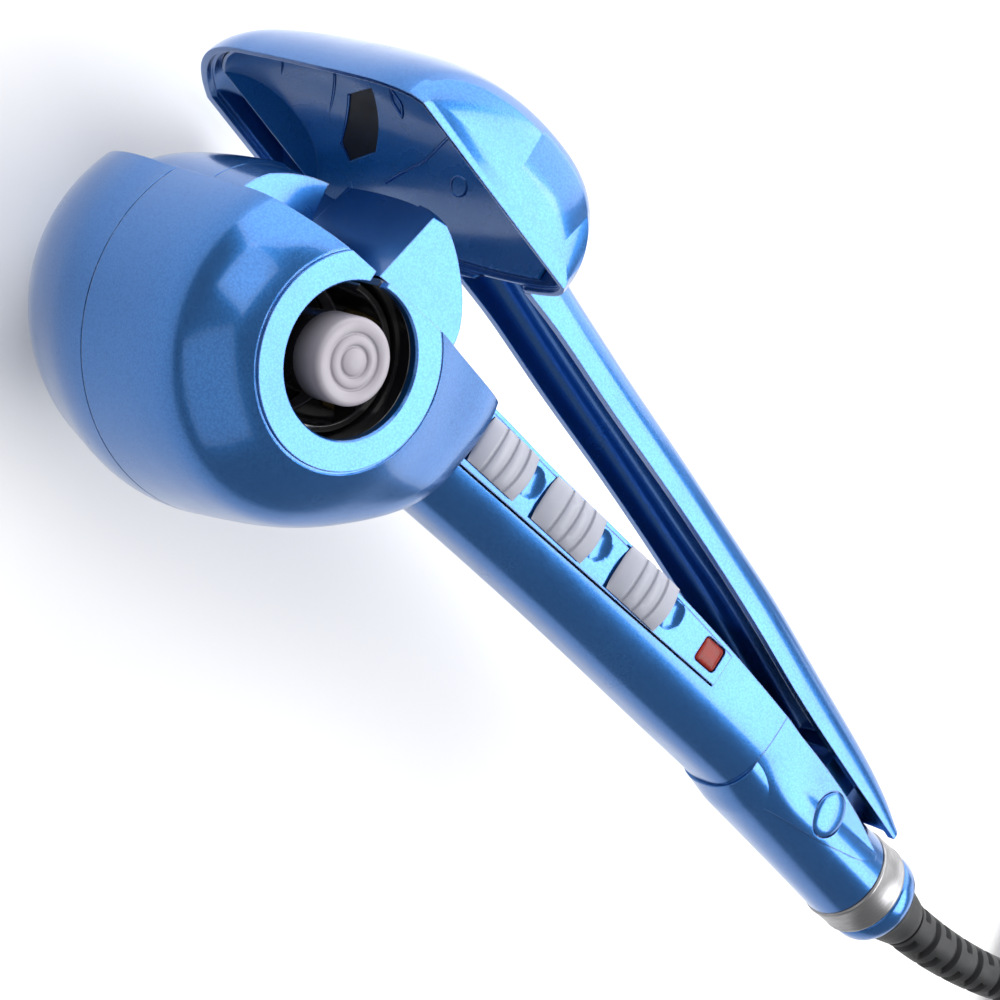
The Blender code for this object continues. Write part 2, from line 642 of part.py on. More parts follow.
def make_tail(looks):
    """Sleeve that carries the hinge, its side plates and caps, the cuff and the cord swivel."""
    middle = Z0 - HANDLE_DEPTH
    xs = stations(TAIL_START + GAP / MM, TAIL_X - GAP / MM, 9.0)
    sleeve = loft([tail_section(x) for x in xs], "tail_sleeve", looks["blue"], smooth=50.0)
    bore_xs = [TAIL_START - 4.0] + xs[1:-1] + [TAIL_X + 4.0]
    boolean(sleeve, loft([tail_section(x, WALL) for x in bore_xs], "cut_sleeve_bore",
                         cutter=True))
    boolean(sleeve, box((TAIL_START - 3.0, 2.0, middle - 10.4), (HINGE_X + 16.0, 20.0, middle + 10.4),
                        "cut_sleeve_top", cutter=True))
    boolean(sleeve, box((HINGE_X - 7.0, -6.5, middle - 8.8), (HINGE_X + 7.0, 3.0, middle + 8.8),
                        "cut_sleeve_ears", cutter=True))
    pin_hole = turned([(HINGE_PIN_R + 0.3, middle - 30.0), (HINGE_PIN_R + 0.3, middle + 30.0)],
                      "cut_pin_hole", cutter=True, centre=(HINGE_X, HINGE_Y), steps=20)
    boolean(sleeve, pin_hole)

    plate_z = sleeve_half(HINGE_X, HINGE_Y) + PLATE_RISE
    centre_y = HINGE_Y - 0.6
    for side, name in ((1.0, "near"), (-1.0, "far")):
        sections = []
        for x in stations(TAIL_START + GAP / MM, TONGUE_END, 5.0):
            t = (x - TAIL_START) / (TONGUE_END - TAIL_START)
            top = along(HANDLE_LINE, x, 1) - 0.4 - 2.4 * t ** 4
            low = along([(TAIL_START, -10.9), (186.0, -8.9), (204.0, -6.8), (216.0, -4.2),
                         (TONGUE_END, -1.6)], x, 1)
            outer = []
            inner = []
            for k in range(9):
                y = low + (top - low) * k / 8.0
                z = sleeve_half(x, min(y, 0.0))
                outer.append((x, y, middle + side * (z + PLATE_RISE)))
                inner.append((x, y, middle + side * (z + PLATE_GAP)))
            sections.append(outer + inner[::-1])
        plate = loft(sections, f"side_plate_{name}", looks["blue"], smooth=50.0)
        pocket = prism([(HINGE_X + 5.05 * math.cos(2 * math.pi * i / 28),
                         centre_y + 5.95 * math.sin(2 * math.pi * i / 28)) for i in range(28)],
                       *sorted((middle + side * (plate_z - 0.45), middle + side * 24.0)),
                       f"cut_cap_pocket_{name}", cutter=True)
        boolean(plate, pocket)
        rings = []
        for share, z in ((1.0, plate_z - 0.15), (1.0, plate_z + 0.35), (0.9, plate_z + 0.75),
                         (0.6, plate_z + 1.0)):
            rings.append([(HINGE_X + share * 4.75 * math.cos(2 * math.pi * i / 28),
                           centre_y + share * 5.65 * math.sin(2 * math.pi * i / 28),
                           middle + side * z) for i in range(28)])
        loft(rings, f"hinge_cap_{name}", looks["blue"], smooth=30.0)

    pin_half = plate_z - PLATE_RISE - 1.2
    turned([(HINGE_PIN_R, middle - pin_half), (HINGE_PIN_R, middle + pin_half)], "hinge_pin",
           looks["steel"], centre=(HINGE_X, HINGE_Y), steps=20)
    make_spring(looks, middle)

    def tail_turned(profile, name, look, bore=True, smooth=40.0, steps=36):
        obj = turned([(r, x) for r, x in profile], name, look, bore=bore, steps=steps,
                     smooth=smooth)
        return turn_to(obj, (1.0, 0.0, 0.0), (0.0, TAIL_Y, middle))

    cuff_end = TAIL_X + CUFF_LENGTH
    tail_turned([(10.6, TAIL_X), (10.6, cuff_end), (TAIL_R + 0.1, cuff_end),
                 (TAIL_R + 0.4, cuff_end - 0.6), (TAIL_R + 0.4, TAIL_X + 0.6),
                 (TAIL_R + 0.1, TAIL_X)], "cuff_band", looks["silver"])
    ring_start = cuff_end + GAP / MM
    ring_end = ring_start + END_RING_LENGTH
    tail_turned([(9.0, ring_start), (9.0, ring_end), (10.2, ring_end), (11.5, ring_end - 1.4),
                 (TAIL_R, ring_start + 1.5), (TAIL_R, ring_start)], "end_ring", looks["blue"])
    cone_start = ring_end + GAP / MM
    cone_end = cone_start + CONE_LENGTH
    tail_turned([(4.2, ring_start - 3.0), (4.2, cone_end), (6.6, cone_end),
                 (7.2, cone_end - 2.5), (9.4, cone_start + 1.2), (9.6, cone_start),
                 (8.7, cone_start), (8.7, ring_start - 3.0)], "swivel_cone", looks["rubber"])
    return cone_end


def sleeve_half(x, y):
    """Half width of the tail sleeve at a station and height."""
    points = tail_section(x, steps=80)
    best = 0.0
    for (_, y0, z0), (_, y1, z1) in zip(points, points[1:] + points[:1]):
        if (y0 - y) * (y1 - y) <= 0.0 and abs(y1 - y0) > 1e-9:
            t = (y - y0) / (y1 - y0)
            best = max(best, z0 + (z1 - z0) * t - (Z0 - HANDLE_DEPTH))
    return best


def make_spring(looks, middle):
    """Return spring of the jaw, wound round the hinge pin with one leg each way."""
    turns = 4
    per_turn = 10
    points = []
    for i in range(turns * per_turn + 1):
        a = 2.0 * math.pi * i / per_turn
        points.append((HINGE_X + SPRING_R * math.cos(a), HINGE_Y + SPRING_R * math.sin(a),
                       middle - 4.5 + 9.0 * i / (turns * per_turn)))
    points.insert(0, (HINGE_X + SPRING_R, HINGE_Y - 6.0, middle - 4.6))
    return wire("jaw_spring", points, 0.55, looks["steel"], resolution=1)


def wire(name, points, radius, look, resolution=2):
    curve = bpy.data.curves.new(name, "CURVE")
    curve.dimensions = "3D"
    curve.bevel_depth = radius * MM
    curve.bevel_resolution = resolution
    curve.use_fill_caps = True
    spline = curve.splines.new("POLY")
    spline.points.add(len(points) - 1)
    for point, place in zip(spline.points, points):
        point.co = (*(Vector(place) * MM), 1.0)
    curve.materials.append(look)
    obj = bpy.data.objects.new(name, curve)
    bpy.context.scene.collection.objects.link(obj)
    return obj


# ---- cord ----------------------------------------------------------------------------------

def relief_axis(t):
    """Centre of the strain relief at share t of its length, bending towards +Y."""
    bend = math.radians(RELIEF_BEND)
    angle = bend * t
    radius = RELIEF_LENGTH / bend
    x = RELIEF_X + radius * math.sin(angle)
    y = TAIL_Y + radius * (1.0 - math.cos(angle))
    return Vector((x, y, Z0 - HANDLE_DEPTH)), Vector((math.cos(angle), math.sin(angle), 0.0))


def make_relief(looks):
    """Ribbed boot: discs on a tapered core."""
    shares = []
    ribs = 9
    for k in range(ribs):
        start = k / ribs
        shares += [(start + 0.001, 1.0), (start + 0.074, 1.0), (start + 0.077, 0.82),
                   (start + 0.108, 0.82)]
    shares.append((1.0, 1.0))
    sections = []
    for t, scale in shares:
        centre, forward = relief_axis(t)
        radius = (6.3 - 1.1 * t) * scale
        side = Vector((-forward.y, forward.x, 0.0))
        up = Vector((0.0, 0.0, 1.0))
        ring = []
        for i in range(14):
            a = 2.0 * math.pi * i / 14
            ring.append(centre + side * (radius * math.cos(a)) + up * (radius * math.sin(a)))
        sections.append(ring)
    boot = loft(sections, "strain_relief", looks["rubber"], smooth=30.0)
    return set_origin(boot, (RELIEF_X, TAIL_Y, Z0 - HANDLE_DEPTH))


def smooth_route(controls, spacing):
    """Points at even spacing on a centripetal spline through the control points."""
    fine = []
    pts = [Vector(c) for c in controls]
    pts = [pts[0] * 2.0 - pts[1]] + pts + [pts[-1] * 2.0 - pts[-2]]
    for a, b, c, d in zip(pts, pts[1:], pts[2:], pts[3:]):
        for k in range(16):
            t = k / 16.0
            fine.append(0.5 * ((2.0 * b) + (c - a) * t + (2.0 * a - 5.0 * b + 4.0 * c - d) * t * t
                               + (3.0 * b - a - 3.0 * c + d) * t ** 3))
    fine.append(pts[-2])
    lengths = [0.0]
    for a, b in zip(fine, fine[1:]):
        lengths.append(lengths[-1] + (b - a).length)
    count = max(3, round(lengths[-1] / spacing))
    route = []
    k = 0
    for i in range(count + 1):
        target = lengths[-1] * i / count
        while k < len(fine) - 2 and lengths[k + 1] < target:
            k += 1
        span = max(lengths[k + 1] - lengths[k], 1e-9)
        route.append(fine[k].lerp(fine[k + 1], (target - lengths[k]) / span))
    return route


def make_cord(looks):
    """Cord: down from the strain relief to the surface, a stored coil, and the plug."""
    end, forward = relief_axis(1.0)
    start = end + forward * (GAP / MM)
    controls = [start, start + forward * 12.0]
    controls += [Vector(p) for p in CORD_ROUTE]
    wire("cord_run", smooth_route(controls, 15.0), CORD_R, looks["rubber"], resolution=2)
    cx, cy = COIL_CENTRE
    profile = [(COIL_R - 14.0, 2.5), (COIL_R - 12.0, 0.2), (COIL_R + 12.0, 0.2),
               (COIL_R + 14.0, 2.5), (COIL_R + 14.0, 18.0), (COIL_R + 12.0, COIL_HEIGHT),
               (COIL_R - 12.0, COIL_HEIGHT), (COIL_R - 14.0, 18.0)]
    turned(profile, "cord_coil", looks["rubber"], bore=True, steps=32, centre=(cx, cy))
    arc = []
    for i in range(15):
        a = math.radians(END_ARC_DEG[0] + (END_ARC_DEG[1] - END_ARC_DEG[0]) * i / 14.0)
        rise = (PLUG_HEIGHT - COIL_HEIGHT - CORD_R - 0.4) * ramp(i, 8.0, 14.0)
        arc.append(Vector((cx + END_ARC_R * math.cos(a), cy + END_ARC_R * math.sin(a),
                           COIL_HEIGHT + CORD_R + 0.4 + rise)))
    wire("cord_end", smooth_route(arc, 9.0), CORD_R, looks["rubber"], resolution=2)
    turn = math.radians(END_ARC_DEG[1] + 90.0)
    forward = Vector((math.cos(turn), math.sin(turn), 0.0))
    make_plug(looks, arc[-1] + forward * 0.8, turn)


def make_plug(looks, start, turn):
    """Flat two-blade mains plug lying on the coil, pointing along the cord's last direction."""
    place = Matrix.Translation(start * MM) @ Matrix.Rotation(turn, 4, "Z")
    sections = []
    for x, w, h in ((0.0, 4.6, 4.6), (9.0, 5.4, 5.2), (14.0, 8.0, 6.6), (20.0, 11.0, 7.8),
                    (33.0, 12.0, 8.0), (35.0, 11.0, 7.4)):
        ring = rounded(2.0 * w, 2.0 * h, min(w, h) * 0.75, steps=3)
        sections.append([(x, u, v) for u, v in ring])
    body = loft(sections, "plug_body", looks["rubber"], smooth=50.0)
    body.matrix_world = place
    for index, offset in enumerate((-6.35, 6.35)):
        blade = box((35.3, offset - 0.75, -3.2), (52.3, offset + 0.75, 3.2),
                    f"plug_blade_{index + 1}", looks["brass"])
        blade.matrix_world = place


# ---- upper arm -----------------------------------------------------------------------------

def arm_outline(x, half, inset, steps=10):
    """Arched outline of the upper arm at a station, from the near rim over the back."""
    rim = along(ARM_LINE, x, 1)
    back = along(ARM_LINE, x, 2) - inset
    points = []
    for i in range(steps + 1):
        a = math.pi * i / steps
        c, s = math.cos(a), math.sin(a)
        z = math.copysign(half * abs(c) ** 0.55, c)
        y = rim + (back - rim) * s ** 0.62
        points.append((x, y, Z0 - HANDLE_DEPTH + z))
    return points


def make_upper(looks):
    """Upper arm with its hinge ears and bushes, the lid and its liner, modelled closed."""
    middle = Z0 - HANDLE_DEPTH
    sections = []
    for x in stations(ARM_LINE[0][0], ARM_LINE[-1][0], 12.0):
        outer = arm_outline(x, HANDLE_HALF, 0.0)
        inner = arm_outline(x, HANDLE_HALF - 2.2, 2.4)
        sections.append(outer + inner[::-1])
    arm = loft(sections, "upper_arm_shell", looks["blue"], smooth=50.0)
    ears = []
    for side in (1.0, -1.0):
        ear_outline = [(HINGE_X - 5.5, 15.5), (HINGE_X + 5.5, 15.5)]
        ear_outline += [(HINGE_X + 5.5 * math.cos(math.radians(a)),
                         HINGE_Y + 5.5 * math.sin(math.radians(a)))
                        for a in range(0, -181, -20)]
        low, high = sorted((middle + side * 5.6, middle + side * 8.2))
        ears.append(prism(ear_outline[::-1], low, high, f"cut_ear_{len(ears)}", cutter=True))
    bridge = box((HINGE_X - 5.5, 13.0, middle - 8.2), (HINGE_X + 5.5, 17.4, middle + 8.2),
                 "cut_ear_bridge", cutter=True)
    for ear in ears:
        boolean(arm, ear, "UNION")
    boolean(arm, bridge, "UNION")
    bore = turned([(HINGE_PIN_R + 1.4, middle - 16.0), (HINGE_PIN_R + 1.4, middle + 16.0)],
                  "cut_ear_bore", cutter=True, centre=(HINGE_X, HINGE_Y), steps=20)
    boolean(arm, bore)
    bushes = []
    for side, name in ((1.0, "near"), (-1.0, "far")):
        low, high = sorted((middle + side * 5.4, middle + side * 8.4))
        bushes.append(turned([(HINGE_PIN_R + 0.25, low), (HINGE_PIN_R + 1.1, low),
                              (HINGE_PIN_R + 1.1, high), (HINGE_PIN_R + 0.25, high)],
                             f"hinge_bush_{name}", looks["brass"], bore=True,
                             centre=(HINGE_X, HINGE_Y), steps=20))

    lid = lid_solid("lid_shell", look=looks["blue"])
    boolean(lid, lid_solid("cut_lid_inside", LID_WALL, floor=PARTING_Y - 4.0, cutter=True,
                           first=1, last=1))
    joint = box((36.0, PARTING_Y - 5.0, middle - HANDLE_HALF - 0.4),
                (70.0, 60.0, middle + HANDLE_HALF + 0.4), "cut_lid_joint", cutter=True)
    boolean(lid, joint)

    liner = lid_solid("lid_liner", LID_WALL + GAP / MM, floor=PARTING_Y - 4.0,
                      look=looks["blue_dark"], first=5, last=2)
    boolean(liner, lid_solid("cut_liner_inside", LID_WALL + GAP / MM + LINER_WALL,
                             floor=PARTING_Y - 4.0, cutter=True, first=4, last=2))
    boolean(liner, box((-60.0, 0.0, -10.0), (90.0, LINER_FLOOR, Z0 + 10.0), "cut_liner_low",
                       cutter=True))
    boolean(liner, joint)
    parts = [arm, lid, liner] + bushes
    return parts


def main():
    clear_scene()
    looks = {
        "blue": material("blue_gloss", (0.02, 0.17, 0.48), 0.18, 0.6),
        "blue_cap": material("blue_gloss_cap", (0.02, 0.16, 0.46), 0.18, 0.6),
        "blue_dark": material("blue_satin_inner", (0.01, 0.10, 0.32), 0.3, 0.4),
        "black_gloss": material("black_gloss", (0.01, 0.01, 0.012), 0.12),
        "black": material("black_plastic", (0.02, 0.02, 0.022), 0.5),
        "ceramic": material("ceramic_barrel", (0.03, 0.03, 0.035), 0.25),
        "grey_cap": material("core_cap_grey", (0.42, 0.41, 0.45), 0.4),
        "grey": material("slider_grey", (0.42, 0.44, 0.50), 0.35, 0.2),
        "red": material("indicator_red", (0.6, 0.06, 0.03), 0.2),
        "nylon": material("nylon_gear", (0.75, 0.73, 0.66), 0.5),
        "brass": material("brass", (0.65, 0.50, 0.25), 0.3, 1.0),
        "steel": material("steel", (0.55, 0.55, 0.57), 0.3, 1.0),
        "silver": material("brushed_silver", (0.6, 0.6, 0.6), 0.35, 1.0),
        "board": material("circuit_board_green", (0.02, 0.18, 0.08), 0.5),
        "rubber": material("black_rubber", (0.02, 0.02, 0.022), 0.6),
    }
    make_head(looks)
    make_winder(looks)
    make_handle(looks)
    make_tail(looks)
    make_relief(looks)
    make_cord(looks)

    pivot = empty("jaw_pivot", (HINGE_X, HINGE_Y, Z0 - HANDLE_DEPTH))
    for obj in make_upper(looks):
        obj.parent = pivot
        obj.matrix_parent_inverse = pivot.matrix_basis.inverted()
    for name in ("cut_ear_0", "cut_ear_1", "cut_ear_bridge", "cut_ear_bore", "cut_lid_inside",
                 "cut_lid_joint", "cut_liner_inside", "cut_liner_low"):
        cutter = bpy.data.objects[name]
        cutter.parent = pivot
        cutter.matrix_parent_inverse = pivot.matrix_basis.inverted()
    pivot.rotation_euler = (0.0, 0.0, math.radians(-OPEN_DEG))


main()
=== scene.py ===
"""Looks of the automatic hair curler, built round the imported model. Lengths are millimetres until
a mesh is finished, and depths are measured down from the curl outlet's face."""
import math

import bmesh
import bpy
from mathutils import Matrix, Vector


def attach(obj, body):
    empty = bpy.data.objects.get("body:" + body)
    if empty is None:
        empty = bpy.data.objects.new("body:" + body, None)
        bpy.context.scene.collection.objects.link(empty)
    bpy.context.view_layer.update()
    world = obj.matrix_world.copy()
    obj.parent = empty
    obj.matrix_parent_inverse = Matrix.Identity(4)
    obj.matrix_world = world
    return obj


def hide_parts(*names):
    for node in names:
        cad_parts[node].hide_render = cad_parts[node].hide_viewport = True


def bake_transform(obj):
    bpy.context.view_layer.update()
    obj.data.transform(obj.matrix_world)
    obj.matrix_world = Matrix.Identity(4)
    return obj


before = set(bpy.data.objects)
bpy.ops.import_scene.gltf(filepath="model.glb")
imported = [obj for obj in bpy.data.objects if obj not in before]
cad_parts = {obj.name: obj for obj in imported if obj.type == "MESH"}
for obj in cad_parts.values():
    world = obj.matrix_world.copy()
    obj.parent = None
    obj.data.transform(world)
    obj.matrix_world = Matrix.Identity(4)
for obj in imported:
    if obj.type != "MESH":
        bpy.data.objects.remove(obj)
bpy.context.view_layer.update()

MM = 0.001
Z0 = 104.0  # height of the curl outlet's face
SEAM = 41.0  # depth of the seam between front shell and end cap
WALL = 2.4
PARTING_Y = 18.0  # plane where the closed lid meets the drum
DECK_Y = 14.6  # foot of the hair guides
GUIDE_STEP = 3.9  # how far the guides stand inside the drum's form
HINGE = Vector((200.0, 0.0, 0.0))
OPEN_DEG = 8.7
LID_POWER = 0.87  # fullness of the lid's right side
LID_TRIM = 2.2  # how much narrower its right side is than the table says
MIDDLE = Z0 - 32.5  # height of the handle's middle plane
HALF = 13.6  # half width of the handle and the upper arm
TAIL_START = 172.0
TAIL_X = 226.0  # end of the tail sleeve
TAIL_Y = -5.4
TAIL_R = 11.8
TONGUE_END = 221.0  # end of the side plates

# Drum: depth and radius.
DRUM = [(0.0, 23.2), (1.6, 26.8), (5.0, 31.4), (8.5, 34.9), (12.5, 37.2), (20.0, 38.6),
        (30.0, 39.5), (41.0, 40.2), (54.0, 41.0), (66.0, 39.2), (76.0, 34.6), (85.0, 27.8),
        (92.0, 22.0), (97.5, 17.1), (101.5, 12.4), (104.0, 9.0)]
# Handle: x, top edge and keel.
HANDLE = [(36.0, 18.8, -7.6), (52.0, 18.8, -7.8), (76.0, 17.4, -8.0), (105.0, 16.4, -8.6),
          (129.0, 15.0, -9.5), (149.0, 13.3, -10.3), (172.0, 10.6, -11.1), (201.0, 6.6, -13.0),
          (222.0, 2.6, -15.0)]
# Upper arm, closed: x, rim and back.
ARM = [(38.5, 19.2, 31.6), (52.0, 19.2, 30.3), (76.0, 17.9, 28.6), (105.0, 16.9, 27.1),
       (129.0, 15.5, 25.6), (149.0, 13.8, 24.4), (172.0, 11.4, 21.8), (200.0, 9.6, 18.4),
       (213.0, 9.0, 15.6), (221.0, 8.6, 12.4)]
# Right front guide: depth, and the points of its section's crest.
WEDGE = [
    (5.0, [(1.6, 38.6), (7.8, 36.2), (13.2, 32.8), (18.4, 28.2), (22.2, 22.9), (23.4, 18.0),
           (22.4, DECK_Y)]),
    (9.0, [(1.8, 38.6), (9.0, 37.0), (15.0, 33.8), (20.4, 29.2), (24.4, 23.6), (26.0, 18.0),
           (25.0, DECK_Y)]),
    (20.0, [(2.6, 40.4), (10.5, 38.9), (17.8, 35.4), (24.2, 30.2), (28.9, 24.0), (31.0, 18.0),
            (30.4, DECK_Y)]),
    (SEAM, [(2.8, 41.0), (11.5, 39.6), (19.5, 36.0), (26.2, 30.6), (31.0, 24.2), (33.4, 18.0),
            (33.0, DECK_Y)]),
]
# Lid, closed: depth, left and right limits, the crown's place and its height.
LID = [
    (0.8, -24.8, 34.4, 10.0, 25.0), (1.6, -25.8, 35.4, 11.0, 33.0),
    (3.0, -26.8, 36.4, 12.0, 37.8), (5.2, -27.8, 37.4, 13.0, 40.2),
    (8.5, -28.8, 38.2, 14.0, 41.6), (14.0, -29.8, 38.9, 14.0, 42.8),
    (22.0, -30.5, 39.4, 14.0, 43.6), (32.0, -31.0, 39.4, 13.0, 43.8),
    (45.0, -31.6, 38.4, 11.0, 43.2), (58.0, -32.0, 36.0, 8.0, 41.7),
    (68.0, -31.9, 33.0, 6.0, 39.3), (77.0, -29.4, 29.4, 4.0, 35.6),
    (85.0, -24.4, 24.1, 2.0, 30.7), (91.0, -18.0, 17.6, 1.0, 26.3),
    (95.0, -12.0, 11.5, 0.0, 22.4),
]


# ---- numbers ----

def ramp(value, low, high):
    """0 below low, 1 above high, and a smooth step between them."""
    t = min(max((value - low) / (high - low), 0.0), 1.0)
    return t * t * (3.0 - 2.0 * t)


def smooth(table, x, column=1):
    """A column of a station table at x, on one smooth curve through the stations."""
    if x <= table[0][0]:
        return table[0][column]
    if x >= table[-1][0]:
        return table[-1][column]
    k = max(i for i, row in enumerate(table[:-1]) if row[0] <= x)

    def slope(i):
        lo, hi = max(i - 1, 0), min(i + 1, len(table) - 1)
        return (table[hi][column] - table[lo][column]) / (table[hi][0] - table[lo][0])

    x0, x1 = table[k][0], table[k + 1][0]
    y0, y1 = table[k][column], table[k + 1][column]
    t, h = (x - x0) / (x1 - x0), x1 - x0
    return ((2 * t ** 3 - 3 * t ** 2 + 1) * y0 + (t ** 3 - 2 * t ** 2 + t) * h * slope(k)
            + (3 * t ** 2 - 2 * t ** 3) * y1 + (t ** 3 - t ** 2) * h * slope(k + 1))


def straight(table, x):
    """Value at x on the straight lines through a table's stations."""
    for left, right in zip(table, table[1:]):
        if x <= right[0]:
            t = max((x - left[0]) / (right[0] - left[0]), 0.0)
            return left[1] + (right[1] - left[1]) * t
    return table[-1][1]


def steps_of(low, high, step):
    """Evenly spaced values from low to high, about a step apart."""
    count = max(1, round((high - low) / step))
    return [low + (high - low) * i / count for i in range(count + 1)]


def signed_power(value, power):
    return math.copysign(abs(value) ** power, value)


def spline(points, per=5):
    """Smooth open curve through points, as points."""
    points = [Vector(p) for p in points]
    padded = [points[0] * 2.0 - points[1]] + points + [points[-1] * 2.0 - points[-2]]
    curve = []
    for a, b, c, d in zip(padded, padded[1:], padded[2:], padded[3:]):
        for k in range(per):
            t = k / per
            curve.append(0.5 * (2.0 * b + (c - a) * t + (2.0 * a - 5.0 * b + 4.0 * c - d) * t * t
                                + (3.0 * b - a - 3.0 * c + d) * t ** 3))
    return curve + [points[-1]]


def resampled(points, spacing):
    """The same line with its points at an even spacing."""
    lengths = [0.0]
    for a, b in zip(points, points[1:]):
        lengths.append(lengths[-1] + (b - a).length)
    count = round(lengths[-1] / spacing)
    line, k = [], 0
    for i in range(count + 1):
        target = lengths[-1] * i / count
        while k < len(points) - 2 and lengths[k + 1] < target:
            k += 1
        line.append(points[k].lerp(points[k + 1],
                                   (target - lengths[k]) / max(lengths[k + 1] - lengths[k], 1e-9)))
    return line


# ---- meshes ----

def finish(bm, name, look, sharp=22.0):
    """Object from a mesh drawn in millimetres, smooth except over sharp edges."""
    bmesh.ops.scale(bm, vec=(MM, MM, MM), verts=bm.verts)
    bmesh.ops.recalc_face_normals(bm, faces=bm.faces)
    mesh = bpy.data.meshes.new(name)
    bm.to_mesh(mesh)
    bm.free()
    mesh.shade_smooth()
    mesh.set_sharp_from_angle(angle=math.radians(sharp))
    obj = bpy.data.objects.new(name, mesh)
    bpy.context.scene.collection.objects.link(obj)
    if look is not None:
        mesh.materials.append(look)
    return obj


def loft(rings, name, look=None, sharp=22.0, closed=False):
    """Solid through rings of points; a closed one joins its last ring to its first."""
    bm = bmesh.new()
    verts = [[bm.verts.new(p) for p in ring] for ring in rings]
    pairs = list(zip(verts, verts[1:]))
    if closed:
        pairs.append((verts[-1], verts[0]))
    for low, high in pairs:
        for i in range(len(low)):
            j = (i + 1) % len(low)
            bm.faces.new((low[i], low[j], high[j], high[i]))
    if not closed:
        bm.faces.new(verts[0])
        bm.faces.new(verts[-1])
    return finish(bm, name, look, sharp)


def prism(outline, low, high, name="cut", look=None, axis="Z"):
    """Solid of one outline between two places on the Z or the Y axis."""
    rings = [[(u, v, w) if axis == "Z" else (u, w, v) for u, v in outline] for w in (low, high)]
    return loft(rings, name, look)


def box(low, high):
    """Rectangular cutter between two corners."""
    outline = [(low[0], low[1]), (high[0], low[1]), (high[0], high[1]), (low[0], high[1])]
    return prism(outline, low[2], high[2])


def circle(radius, steps):
    return [(radius * math.cos(2 * math.pi * i / steps),
             radius * math.sin(2 * math.pi * i / steps)) for i in range(steps)]


def rounded(width, height, radius, centre=(0.0, 0.0), steps=6):
    """Outline of a rectangle with rounded corners."""
    points = []
    for sx, sy, start in ((1, 1, 0), (-1, 1, 90), (-1, -1, 180), (1, -1, 270)):
        cx = centre[0] + sx * (width / 2 - radius)
        cy = centre[1] + sy * (height / 2 - radius)
        for k in range(steps + 1):
            a = math.radians(start + 90 * k / steps)
            points.append((cx + radius * math.cos(a), cy + radius * math.sin(a)))
    return points


def below(points):
    """Turn points of (place, depth) into (place, z)."""
    return [(place, Z0 - depth) for place, depth in points]


def turned(profile, name="cut", look=None, centre=(0.0, 0.0), bore=False, steps=128, sharp=22.0):
    """Solid turned about a Z axis through a centre; profile points are (radius, z)."""
    rings = [[(centre[0] + x, centre[1] + y, z) for x, y in circle(r, steps)]
             for r, z in profile]
    return loft(rings, name, look, sharp, closed=bore)


def along_x(profile, name, look, sharp=50.0, steps=96):
    """Ring turned about the tail's axis; profile points are (radius, x)."""
    rings = [[(x, TAIL_Y + r * math.cos(2 * math.pi * i / steps),
               MIDDLE + r * math.sin(2 * math.pi * i / steps)) for i in range(steps)]
             for r, x in profile]
    return loft(rings, name, look, sharp, closed=True)


def cut(obj, cutters, operation="DIFFERENCE", sharp=22.0):
    """Boolean an object with cutters, keep the result as its mesh and drop the cutters."""
    for cutter in cutters:
        mod = obj.modifiers.new("cut", "BOOLEAN")
        mod.operation = operation
        mod.solver = "EXACT"
        mod.object = cutter
    settle(obj, sharp)
    for cutter in cutters:
        bpy.data.objects.remove(cutter, do_unlink=True)
    return obj


def settle(obj, sharp=22.0):
    """Apply an object's modifiers to its mesh."""
    bpy.context.view_layer.update()
    graph = bpy.context.evaluated_depsgraph_get()
    mesh = bpy.data.meshes.new_from_object(obj.evaluated_get(graph))
    obj.modifiers.clear()
    obj.data = mesh
    mesh.shade_smooth()
    mesh.set_sharp_from_angle(angle=math.radians(sharp))
    return obj


def opened(obj):
    """Turn a piece modelled with the jaw closed to the open rest position."""
    pivot = Matrix.Translation(HINGE * MM)
    turn = pivot @ Matrix.Rotation(math.radians(-OPEN_DEG), 4, "Z") @ pivot.inverted()
    obj.data.transform(turn)
    return obj


def keep(obj, body, slot, *nodes):
    """Ride on a body and stand for CAD nodes; the slot is not used."""
    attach(obj, body)
    if nodes:
        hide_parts(*nodes)
    return obj


# ---- materials ----

